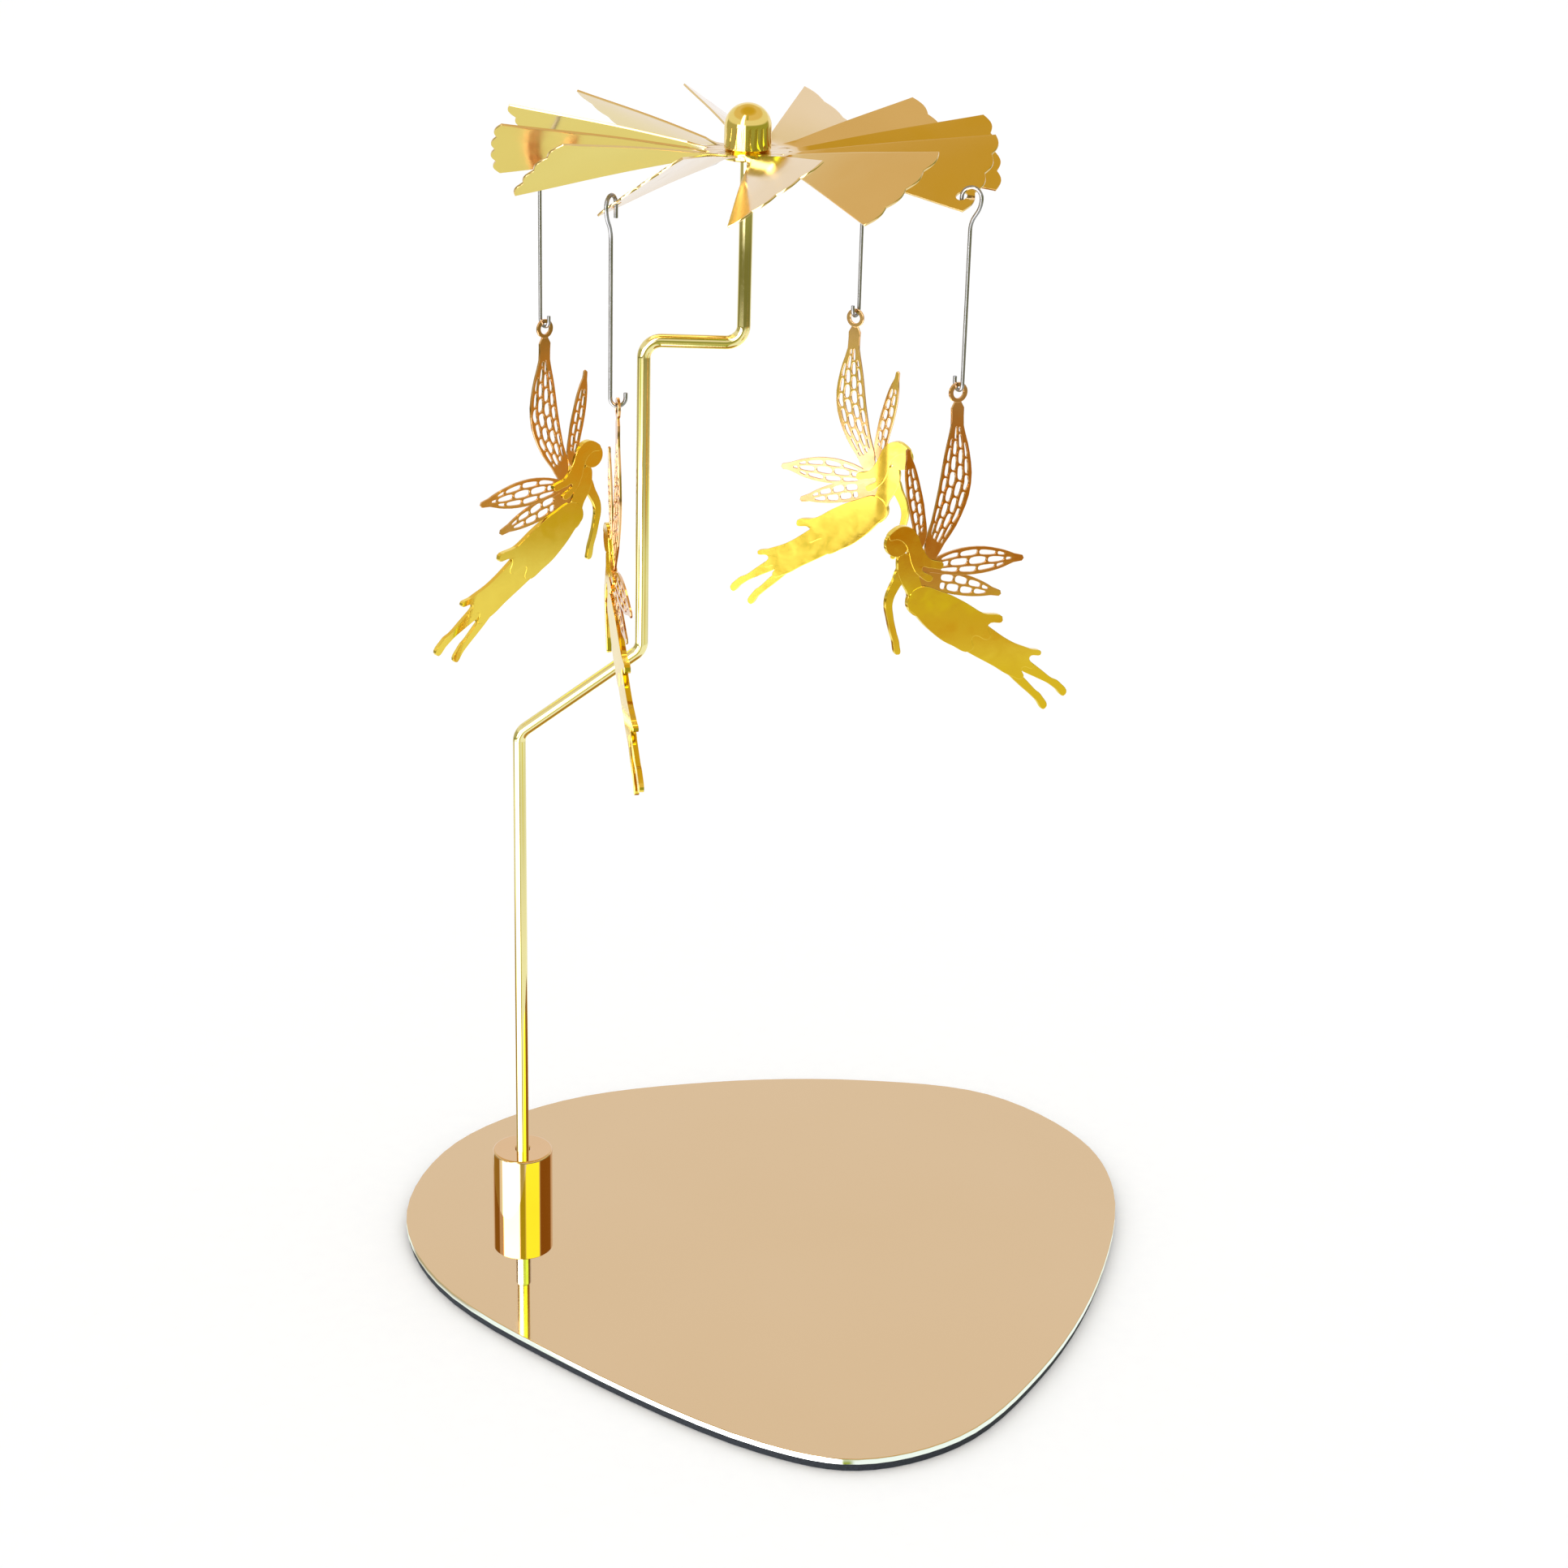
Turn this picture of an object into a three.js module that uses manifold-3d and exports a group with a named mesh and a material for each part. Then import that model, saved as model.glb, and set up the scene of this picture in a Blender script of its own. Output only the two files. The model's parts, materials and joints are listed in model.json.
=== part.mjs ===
// Rotating candle holder. A bent rod stands in a post on a mirror-polished base. A twelve-blade
// fan wheel balances on the rod's point and turns in the warm air of a tea light set below it.
// Four fairy pendants hang from the wheel on wire hooks.
// Millimetres, +Z up, origin on the table under the middle of the base.
import * as THREE from "three";
import { mergeVertices } from "three/addons/utils/BufferGeometryUtils.js";
import Module from "manifold-3d";

// Clearances
const FIT_GAP = 0.3;
const MERGE_DISTANCE = 1e-4;

// Base plate and its backing pad. The outline is a three-cornered pebble, drawn in shares of the
// half width and half depth and then fitted to them.
const BASE_WIDTH = 149.8;
const BASE_DEPTH = 149.2;
const BASE_OUTLINE = [
  [-1, 0.13], [-0.87, -0.23], [-0.49, -0.6], [0.01, -0.94], [0.25, -1], [0.5, -0.89], [0.72, -0.59],
  [0.91, -0.14], [1, 0.36], [0.93, 0.66], [0.67, 0.93], [0.28, 1], [-0.17, 0.96], [-0.62, 0.81],
  [-0.91, 0.53],
];
const OUTLINE_STEPS = 90;
const PLATE_THICKNESS = 1.2;
const PAD_THICKNESS = 1.6;
const PAD_INSET = 0.3;

// Post that holds the rod, and the screw that fastens it from below
const POST_FROM_LEFT_EDGE = 25.7;
const POST_FROM_MIDDLE = -2.8;
const POST_DIAMETER = 12;
const POST_HEIGHT = 22.5;
const POST_RIM = 0.5;
const SCREW_DIAMETER = 3;
const SCREW_REACH = 8.7;
const SCREW_HEAD_DIAMETER = 8;
const SCREW_HEAD_RECESS = 0.3;

// Bent rod: up, slanting in, up again, level to the wheel's axis, and up to the wheel
const ROD_DIAMETER = 2.5;
const ROD_BEND_RADIUS = 3.2;
const LOWER_RISE = 112.3;
const SLANT_REACH = 23.2;
const SLANT_RISE = 17.6;
const MIDDLE_RISE = 59.1;
const JOG_REACH = 18;
const TOP_RISE = 34.4;
const ROD_POINT_LENGTH = 3;
const ROD_POINT_DIAMETER = 0.4;
const ROD_POINT_STEP = 0.1;

// Fan wheel, one stamped sheet with its blades twisted at their necks
const SHEET_THICKNESS = 0.4;
const BLADE_COUNT = 12;
const BLADE_PHASE = 7.3;
const BLADE_TIP_RADIUS = 45.2;
const BLADE_WIDTH = 18.8;
const BLADE_TWIST = 35;
const HUB_RADIUS = 7.4;
const NECK_WIDTH = 2.6;
const NECK_LENGTH = 4;
const SCALLOPS = 4;
const SCALLOP_DEPTH = 0.8;

// Dome cap with its bearing cup, and the collar that clamps the wheel under it
const ROD_PLAY = 1.05;
const SPIGOT_WALL = 0.8;
const CAP_SEAT = 1.1;
const CAP_HEIGHT = 8.2;
const CAP_CROWN = 2.6;
const CUP_THICKNESS = 1.6;
const CUP_DIMPLE_DEPTH = 0.8;
const CUP_RIM = 0.8;
const COLLAR_WALL = 1.1;
const COLLAR_THICKNESS = 1.2;

// Wire hooks, each over the rim of its blade and through a hole there
const WIRE_DIAMETER = 0.7;
const HOOK_HOLE_FROM_TIP = 3;
const HOOK_HOLE_FROM_EDGE = 3.4;
const HOOK_HOLE_PLAY = 0.65;
const HOOK_RIM_GAP = 0.65;
const HOOK_TAIL = 2.2;
const HOOK_NECK_DROP = 5.5;
const HOOK_LENGTH = 34;
const LOWER_LOOP_PLAY = 0.7;
const LOWER_LOOP_TAIL = 0.9;

// Fairy pendants, cut from sheet, with thicker raised figures
const PENDANT_SHEET = 0.5;
const FIGURE_THICKNESS = 0.9;
const HAIR_THICKNESS = 1.2;
const HEAD_RADIUS = 2.4;
const RING_PLAY = 0.7;
const RING_WALL = 0.75;

// Outlines of a pendant in its own plane: X towards the face, Y up, origin at the ring's middle
const TALL_WING = [
  [0.55, -1.5], [1.1, -6], [2.1, -11], [3, -17], [4.2, -23], [5.4, -28], [4.2, -30.2], [1.4, -27.3],
  [-1.8, -22.5], [-3.5, -16.8], [-2.9, -11], [-1.4, -6], [-0.55, -1.5],
];
const FAR_WING = [
  [9.6, -9.2], [9.9, -11.2], [9.95, -13.8], [9.4, -18], [8, -23.5], [6.8, -28], [5.4, -26.5], [5.6, -21.5],
  [6.9, -16], [8.1, -12.4], [9, -10.6],
];
const MIDDLE_WING = [
  [-15.4, -31.9], [-13.4, -30.8], [-10, -29.5], [-5.5, -28.6], [-0.5, -28.8], [3.2, -29.8], [6.2, -31.2],
  [3, -32.6], [-0.5, -33.3], [-5, -33.8], [-10, -33.4], [-13.2, -32.5],
];
const LOW_WING = [
  [-11, -38.2], [-9, -36.6], [-6.2, -34.9], [-2, -33.2], [2, -32.4], [6.4, -32.8], [6.2, -34.6], [2.5, -36],
  [-2.5, -37.5], [-6.3, -38.1], [-8.8, -38.2],
];
const BODICE = [
  [10.3, -28.2], [10.9, -31], [10.3, -33], [8.6, -36], [8.4, -38.6], [6.2, -40.2], [4.6, -38.6], [5.4, -36],
  [6.4, -33], [7.4, -30.2], [8.9, -28.4],
];
const ARM = [
  [9.9, -30.4], [11.8, -33.2], [13.1, -36.6], [12.5, -40.4], [11.4, -44], [10, -47], [9.9, -45.2],
  [10.7, -42.4], [11.4, -39.6], [11.6, -36.9], [10.4, -34.4], [8.9, -32.4],
];
const HAIR = [
  [12.9, -25.2], [11.6, -23.5], [9.4, -23.2], [7.4, -24.7], [6.2, -27.2], [4.6, -29.6], [1.6, -31.4],
  [4.4, -31.4], [6, -31.2], [3.8, -33.6], [6.8, -32.4], [8.2, -30.2], [8.9, -28], [9.7, -26.4], [11.2, -25.4],
];
const HEAD_CENTRE = [11.1, -26.2];

// Outlines of what trails from the waist, each point as its distance along the gown and above its line,
// which falls at an angle in degrees
const WAIST = [6.8, -37];
const GOWN_FALL = 34;
const OVERSKIRT = [
  [-1.2, 1.7], [4, 3.6], [9, 4.2], [14, 4.3], [18.6, 5.1], [16.4, 3], [18.2, 1], [14.8, -0.4], [16.2, -2.3],
  [11.6, -3.7], [6, -3.5], [2, -2.6], [-1.2, -1.6],
];
const GOWN = [
  [2, 2.2], [6, 3.1], [11, 3.3], [17, 2.8], [23, 2.7], [27.4, 3.4], [30, 3.7], [28.2, 2], [30.2, 0.8],
  [28, -0.4], [29.4, -1.8], [27, -2.7], [22, -2.9], [16, -3.2], [11, -3.3], [6, -3], [2, -2.1],
];
const NEAR_LEG = [
  [24, 1.7], [28, 1.5], [32, 1.2], [35, 0.95], [36.8, 1.1], [39.8, -0.4], [37, -0.4], [35, -0.3],
  [32, -0.55], [28, -0.95], [24, -1.1],
];
const FAR_LEG = [
  [24, -0.5], [27.5, -1.3], [30.6, -1.9], [33.4, -2.5], [35, -2.7], [37.6, -4.5], [34.8, -4.1], [33, -3.8],
  [30, -3.4], [27, -2.9], [24, -2.2],
];

// Cut-outs between the wing veins, each from a start to an end with its greatest width
const WING_CELLS = [
  [[3, -25], [0.7, -8], 1.2],
  [[1.5, -25.2], [-1, -8.5], 1.2],
  [[-0.2, -23.4], [-2.1, -11.4], 1.2],
  [[6.6, -23.5], [8.9, -12.5], 1.3],
  [[0, -30.2], [-10.8, -30.9], 1.2],
  [[-0.4, -31.9], [-9.5, -32.6], 1],
  [[1, -34], [-6.8, -36.6], 1.5],
];

// Where each hook and pendant hangs: its blade, and the way that its figure faces
const HANGERS = [
  { place: "back_right", blade: 2, facing: 332 },
  { place: "back_left", blade: 5, facing: 42 },
  { place: "front_left", blade: 8, facing: 102 },
  { place: "front_right", blade: 11, facing: 208 },
];

// Places worked out from the sizes above
const PLATE_TOP = PAD_THICKNESS + PLATE_THICKNESS;
const POST_X = POST_FROM_LEFT_EDGE - BASE_WIDTH / 2;
const POST_Y = POST_FROM_MIDDLE;
const AXIS_X = POST_X + SLANT_REACH + JOG_REACH;
const AXIS_Y = POST_Y;
const JOG_HEIGHT = LOWER_RISE + SLANT_RISE + MIDDLE_RISE;
const WHEEL_HEIGHT = JOG_HEIGHT + TOP_RISE;
const TWIST = THREE.MathUtils.degToRad(BLADE_TWIST);

// Facets of the round forms
const ROUND_SIDES = 32;
const SMALL_ROUND_SIDES = 16;
const ROD_SIDES = 16;
const WIRE_SIDES = 8;
const BEND_STEPS = 5;
const LOOP_STEPS = 8;
const DOME_STEPS = 7;
const HUB_SIDES_PER_BLADE = 4;
const NECK_STEPS = 4;
const SCALLOP_STEPS = 4;
const CELL_STEPS = 10;
const STEPS_PER_OUTLINE_POINT = 2;

const polishedGold = new THREE.MeshStandardMaterial({ color: 0xc9a24a, roughness: 0.12, metalness: 1 });
const mirrorGold = new THREE.MeshStandardMaterial({ color: 0xd4ba8c, roughness: 0.05, metalness: 1 });
const sheetGold = new THREE.MeshStandardMaterial({ color: 0xb8892c, roughness: 0.22, metalness: 1 });
const pendantGold = new THREE.MeshStandardMaterial({ color: 0xc08a2e, roughness: 0.25, metalness: 1 });
const wireSteel = new THREE.MeshStandardMaterial({ color: 0x8f8f92, roughness: 0.35, metalness: 1 });
const bearingSteel = new THREE.MeshStandardMaterial({ color: 0xb8babd, roughness: 0.2, metalness: 1 });
const darkFoam = new THREE.MeshStandardMaterial({ color: 0x14151c, roughness: 0.9, metalness: 0 });

const wasm = await Module();
wasm.setup();

// Merged and outward-facing copy of a closed geometry, without triangles that have no area
function closedGeometry(source) {
  const bare = source.clone();
  bare.deleteAttribute("normal");
  bare.deleteAttribute("uv");
  bare.clearGroups();
  const merged = mergeVertices(bare, MERGE_DISTANCE);
  const corners = Array.from(merged.index.array);
  const spots = merged.attributes.position;
  const kept = [];
  let volume = 0;
  for (let i = 0; i < corners.length; i += 3) {
    const [a, b, c] = corners.slice(i, i + 3);
    if (a === b || b === c || c === a) continue;
    kept.push(a, b, c);
    const first = new THREE.Vector3().fromBufferAttribute(spots, a);
    const second = new THREE.Vector3().fromBufferAttribute(spots, b);
    const third = new THREE.Vector3().fromBufferAttribute(spots, c);
    volume += first.dot(second.cross(third));
  }
  merged.setIndex(volume < 0 ? kept.reverse() : kept);
  return merged;
}

function solidOf(geometry) {
  const merged = closedGeometry(geometry);
  return new wasm.Manifold(new wasm.Mesh({
    numProp: 3,
    vertProperties: new Float32Array(merged.attributes.position.array),
    triVerts: new Uint32Array(merged.index.array),
  }));
}

function geometryOf(solid) {
  const mesh = solid.getMesh();
  const geometry = new THREE.BufferGeometry();
  geometry.setAttribute("position", new THREE.Float32BufferAttribute(mesh.vertProperties, mesh.numProp));
  geometry.setIndex(Array.from(mesh.triVerts));
  return geometry;
}

// Solid of turning about Z from (radius, height) pairs
function turned(profile, sides = ROUND_SIDES) {
  const points = profile.map(([radius, height]) => new THREE.Vector2(radius, height));
  return new THREE.LatheGeometry(points, sides).rotateX(Math.PI / 2);
}

function discBetween(radius, bottom, top, sides = ROUND_SIDES) {
  return turned([[0, bottom], [radius, bottom], [radius, top], [0, top]], sides);
}

// Closed smooth outline through hand-placed points, anticlockwise, and grown outward by a distance
function smoothOutline(points, steps, grow = 0) {
  const curve = new THREE.CatmullRomCurve3(points.map(([x, y]) => new THREE.Vector3(x, y, 0)), true);
  const outline = [];
  for (let i = 0; i < steps; i += 1) {
    const spot = curve.getPoint(i / steps);
    const along = curve.getTangent(i / steps);
    outline.push(new THREE.Vector2(spot.x + along.y * grow, spot.y - along.x * grow));
  }
  return outline;
}

// Wire path whose steps end exactly at the given points
class WirePath extends THREE.Curve {
  constructor(points) {
    super();
    this.points = points;
  }

  getPoint(t, target = new THREE.Vector3()) {
    const spans = this.points.length - 1;
    const index = Math.min(Math.floor(t * spans), spans - 1);
    return target.lerpVectors(this.points[index], this.points[index + 1], t * spans - index);
  }

  getUtoTmapping(u) {
    return u;
  }
}

function wireAlong(points, diameter, sides) {
  const section = new THREE.Shape();
  section.absarc(0, 0, diameter / 2, 0, Math.PI * 2);
  return new THREE.ExtrudeGeometry(section, {
    steps: points.length - 1,
    curveSegments: sides / 2,
    extrudePath: new WirePath(points),
  });
}

// Corners of a bent wire replaced by arcs of one radius
function roundedCorners(corners, radius, steps) {
  const path = [corners[0]];
  for (let i = 1; i < corners.length - 1; i += 1) {
    const back = corners[i - 1].clone().sub(corners[i]).normalize();
    const ahead = corners[i + 1].clone().sub(corners[i]).normalize();
    const turn = Math.PI - back.angleTo(ahead);
    const reach = radius * Math.tan(turn / 2);
    const middle = back.clone().add(ahead).normalize();
    const centre = corners[i].clone().addScaledVector(middle, radius / Math.cos(turn / 2));
    const start = corners[i].clone().addScaledVector(back, reach).sub(centre);
    const axis = back.clone().cross(ahead).normalize();
    for (let k = 0; k <= steps; k += 1) {
      path.push(start.clone().applyAxisAngle(axis, -turn * k / steps).add(centre));
    }
  }
  path.push(corners[corners.length - 1]);
  return path;
}

function addPart(group, name, geometry, material) {
  const mesh = new THREE.Mesh(closedGeometry(geometry), material);
  mesh.name = name;
  group.add(mesh);
  return mesh;
}

const holder = new THREE.Group();

// Base plate: mirror-polished gold sheet with a hole for the post's screw
function baseShape(inset, holeRadius) {
  const drawn = smoothOutline(BASE_OUTLINE, OUTLINE_STEPS);
  const box = new THREE.Box2().setFromPoints(drawn);
  const middle = box.getCenter(new THREE.Vector2());
  const span = box.getSize(new THREE.Vector2());
  const fitted = BASE_OUTLINE.map(([x, y]) => [
    (x - middle.x) * BASE_WIDTH / span.x,
    (y - middle.y) * BASE_DEPTH / span.y,
  ]);
  const shape = new THREE.Shape(smoothOutline(fitted, OUTLINE_STEPS, -inset));
  const hole = new THREE.Path();
  hole.absarc(POST_X, POST_Y, holeRadius, 0, Math.PI * 2, true);
  shape.holes.push(hole);
  return shape;
}

function sheetOf(shape, thickness) {
  return new THREE.ExtrudeGeometry(shape, { depth: thickness, bevelEnabled: false });
}

const plateShape = baseShape(0, SCREW_DIAMETER / 2 + FIT_GAP);
const plate = addPart(holder, "base_plate", sheetOf(plateShape, PLATE_THICKNESS), mirrorGold);
plate.position.z = PAD_THICKNESS;

// Backing pad: dark foam glued under the plate, open round the screw's head
const padShape = baseShape(PAD_INSET, SCREW_HEAD_DIAMETER / 2 + FIT_GAP);
addPart(holder, "base_pad", sheetOf(padShape, PAD_THICKNESS), darkFoam);

// Post: turned bar bored right through, for the screw from below and the rod from above, which
// stands on the screw's end
const stem = new THREE.Group();
stem.position.set(POST_X, POST_Y, PLATE_TOP);
holder.add(stem);
const postRadius = POST_DIAMETER / 2;
const socketRadius = ROD_DIAMETER / 2 + FIT_GAP;
const screwHoleRadius = SCREW_DIAMETER / 2 + FIT_GAP;
const rodFoot = SCREW_REACH + FIT_GAP;
addPart(stem, "post", turned([
  [screwHoleRadius, 0],
  [postRadius, 0],
  [postRadius, POST_HEIGHT - POST_RIM],
  [postRadius - POST_RIM, POST_HEIGHT],
  [socketRadius, POST_HEIGHT],
  [socketRadius, rodFoot],
  [screwHoleRadius, rodFoot],
  [screwHoleRadius, 0],
]), polishedGold);

// Post screw: wafer head in the pad's opening, shank up through the plate into the post
const screwHeadBottom = SCREW_HEAD_RECESS - PLATE_TOP;
addPart(stem, "post_screw", turned([
  [0, screwHeadBottom],
  [SCREW_HEAD_DIAMETER / 2, screwHeadBottom],
  [SCREW_HEAD_DIAMETER / 2, -PLATE_THICKNESS],
  [SCREW_DIAMETER / 2, -PLATE_THICKNESS],
  [SCREW_DIAMETER / 2, SCREW_REACH],
  [0, SCREW_REACH],
], SMALL_ROUND_SIDES), bearingSteel);

// Stand rod: one bent bar from inside the post to a ground point under the wheel's cap
const capBoreDepth = CAP_HEIGHT - CAP_CROWN;
const capSeat = SHEET_THICKNESS / 2;
const cupBottom = capBoreDepth - CUP_THICKNESS;
const rodPointTop = WHEEL_HEIGHT + capSeat + cupBottom + CUP_DIMPLE_DEPTH - FIT_GAP;
const rodShoulder = rodPointTop - ROD_POINT_LENGTH;
const rodCorners = [
  new THREE.Vector3(0, 0, rodFoot),
  new THREE.Vector3(0, 0, LOWER_RISE),
  new THREE.Vector3(SLANT_REACH, 0, LOWER_RISE + SLANT_RISE),
  new THREE.Vector3(SLANT_REACH, 0, JOG_HEIGHT),
  new THREE.Vector3(SLANT_REACH + JOG_REACH, 0, JOG_HEIGHT),
  new THREE.Vector3(SLANT_REACH + JOG_REACH, 0, rodShoulder),
];
const rodPath = roundedCorners(rodCorners, ROD_BEND_RADIUS, BEND_STEPS);
const rodBody = solidOf(wireAlong(rodPath, ROD_DIAMETER, ROD_SIDES));
const pointRadius = ROD_DIAMETER / 2 - ROD_POINT_STEP;
const rodPoint = turned([
  [0, rodShoulder - ROD_POINT_LENGTH],
  [pointRadius, rodShoulder - ROD_POINT_LENGTH],
  [pointRadius, rodShoulder],
  [ROD_POINT_DIAMETER / 2, rodPointTop],
  [0, rodPointTop],
], ROD_SIDES).translate(SLANT_REACH + JOG_REACH, 0, 0);
addPart(stem, "stand_rod", geometryOf(rodBody.add(solidOf(rodPoint))), polishedGold);

// Everything that turns stands round the wheel's axis
const wheel = new THREE.Group();
wheel.position.set(AXIS_X, AXIS_Y, PLATE_TOP + WHEEL_HEIGHT);
holder.add(wheel);

// One blade along +X: a strip through the twisted neck, then a flat wedge with a scalloped end
function bladeGeometry() {
  const stations = [{ along: HUB_RADIUS - NECK_WIDTH / 2, twist: 0 }];
  for (let i = 0; i <= NECK_STEPS; i += 1) {
    stations.push({ along: HUB_RADIUS + NECK_LENGTH * i / NECK_STEPS, twist: TWIST * i / NECK_STEPS });
  }
  const rim = [];
  const rimSteps = SCALLOPS * SCALLOP_STEPS;
  for (let i = 0; i <= rimSteps; i += 1) {
    const across = BLADE_WIDTH * (i / rimSteps - 0.5);
    const notch = SCALLOP_DEPTH * (1 - Math.abs(Math.sin(Math.PI * i / SCALLOP_STEPS)));
    rim.push({ along: Math.sqrt(BLADE_TIP_RADIUS ** 2 - across ** 2) - notch, across, twist: TWIST });
  }
  const lower = stations.map((s) => ({ ...s, across: -NECK_WIDTH / 2 }));
  const upper = stations.map((s) => ({ ...s, across: NECK_WIDTH / 2 }));
  const loop = [...lower, ...rim, ...upper.reverse()];
  const count = loop.length;
  const spots = [];
  for (const side of [0.5, -0.5]) {
    for (const { along, across, twist } of loop) {
      const lift = side * SHEET_THICKNESS;
      spots.push(
        along,
        across * Math.cos(twist) - lift * Math.sin(twist),
        across * Math.sin(twist) + lift * Math.cos(twist),
      );
    }
  }
  const faces = [];
  for (let i = 0; i < lower.length - 1; i += 1) {
    const far = count - 1 - i;
    faces.push([i, i + 1, far], [i + 1, far - 1, far]);
  }
  const root = lower.length - 1;
  const otherRoot = count - lower.length;
  for (let i = root + 1; i < otherRoot; i += 1) {
    faces.push(i < root + 1 + rimSteps / 2 ? [root, i, i + 1] : [otherRoot, i, i + 1]);
  }
  faces.push([root, root + 1 + rimSteps / 2, otherRoot]);
  const triangles = [];
  for (const [a, b, c] of faces.filter((f) => new Set(f).size === 3)) {
    triangles.push(a, b, c, count + a, count + c, count + b);
  }
  for (let i = 0; i < count; i += 1) {
    const next = (i + 1) % count;
    triangles.push(i, count + i, next, next, count + i, count + next);
  }
  const geometry = new THREE.BufferGeometry();
  geometry.setAttribute("position", new THREE.Float32BufferAttribute(spots, 3));
  geometry.setIndex(triangles);
  return geometry;
}

function bladeAngle(blade) {
  return THREE.MathUtils.degToRad(BLADE_PHASE + 360 * blade / BLADE_COUNT);
}

// Fan wheel: hub disc and blades in one sheet, with the cap's hole and the hooks' holes cut out
const wireRadius = WIRE_DIAMETER / 2;
const holeLateral = HOOK_HOLE_FROM_EDGE - BLADE_WIDTH / 2;
const holeTangent = holeLateral * Math.cos(TWIST);
const holeDrop = holeLateral * Math.sin(TWIST);
const holeOut = BLADE_TIP_RADIUS - HOOK_HOLE_FROM_TIP;
const capBore = ROD_DIAMETER / 2 + ROD_PLAY;
const spigotRadius = capBore + SPIGOT_WALL;
const capRadius = spigotRadius + CAP_SEAT;
let wheelSolid = solidOf(discBetween(HUB_RADIUS, -capSeat, capSeat, BLADE_COUNT * HUB_SIDES_PER_BLADE));
for (let blade = 0; blade < BLADE_COUNT; blade += 1) {
  wheelSolid = wheelSolid.add(solidOf(bladeGeometry().rotateZ(bladeAngle(blade))));
}
const spigotHole = discBetween(spigotRadius + FIT_GAP, -SHEET_THICKNESS, SHEET_THICKNESS);
wheelSolid = wheelSolid.subtract(solidOf(spigotHole));
const hookHoleRadius = wireRadius + HOOK_HOLE_PLAY;
for (const { blade } of HANGERS) {
  const drill = discBetween(hookHoleRadius, -SHEET_THICKNESS, SHEET_THICKNESS, SMALL_ROUND_SIDES);
  drill.rotateX(TWIST).translate(holeOut, holeTangent, holeDrop).rotateZ(bladeAngle(blade));
  wheelSolid = wheelSolid.subtract(solidOf(drill));
}
addPart(wheel, "fan_wheel", geometryOf(wheelSolid), sheetGold);

// Dome cap: round-topped thimble seated on the wheel, its spigot through the hub
const spigotEnd = -SHEET_THICKNESS - COLLAR_THICKNESS;
const dome = [];
for (let i = 0; i < DOME_STEPS; i += 1) {
  const lift = Math.PI / 2 * i / DOME_STEPS;
  dome.push([capRadius * Math.cos(lift), CAP_HEIGHT - capRadius + capRadius * Math.sin(lift)]);
}
addPart(wheel, "dome_cap", turned([
  [0, capBoreDepth],
  [capBore, capBoreDepth],
  [capBore, spigotEnd],
  [spigotRadius, spigotEnd],
  [spigotRadius, 0],
  [capRadius, 0],
  ...dome,
  [0, CAP_HEIGHT],
]), polishedGold).position.z = capSeat;

// Pivot cup: hard bearing slug at the top of the cap's bore, dimpled for the rod's point
const cupRadius = capBore - FIT_GAP;
addPart(wheel, "pivot_cup", turned([
  [0, cupBottom + CUP_DIMPLE_DEPTH],
  [cupRadius - CUP_RIM, cupBottom],
  [cupRadius, cupBottom],
  [cupRadius, capBoreDepth],
  [0, capBoreDepth],
], SMALL_ROUND_SIDES), bearingSteel).position.z = capSeat;

// Hub collar: ring pressed on the spigot, clamping the wheel against the cap
const collarBore = spigotRadius + FIT_GAP;
const collarRadius = collarBore + COLLAR_WALL;
addPart(wheel, "hub_collar", turned([
  [collarBore, -COLLAR_THICKNESS],
  [collarRadius, -COLLAR_THICKNESS],
  [collarRadius, 0],
  [collarBore, 0],
  [collarBore, -COLLAR_THICKNESS],
]), polishedGold).position.z = -capSeat;

// Hook: tail up through the blade's hole, over its rim, down the shank, and a loop for the ring.
// It stands in its blade's own frame, with X outward and the lower loop square to the pendant.
const rimOut = Math.sqrt(BLADE_TIP_RADIUS ** 2 - holeLateral ** 2);
const loopOut = rimOut + HOOK_RIM_GAP + wireRadius;
const upperLoopRadius = (loopOut - holeOut) / 2;
const shankOut = (loopOut + holeOut) / 2;
const lowerLoopRadius = wireRadius + PENDANT_SHEET / 2 + LOWER_LOOP_PLAY;
const ringHoleRadius = wireRadius + RING_PLAY;
const ringDrop = holeDrop - HOOK_LENGTH;
const lowerLoopDrop = ringDrop + ringHoleRadius - wireRadius - FIT_GAP;

function pendantTurn({ blade, facing }) {
  return THREE.MathUtils.degToRad(facing) - bladeAngle(blade);
}

function pendantPlace(hanger) {
  const turn = pendantTurn(hanger);
  const across = new THREE.Vector3(Math.sin(turn), -Math.cos(turn), 0);
  const place = new THREE.Vector3(shankOut, holeTangent, ringDrop);
  return { across, turn, place: place.addScaledVector(across, lowerLoopRadius) };
}

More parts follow.
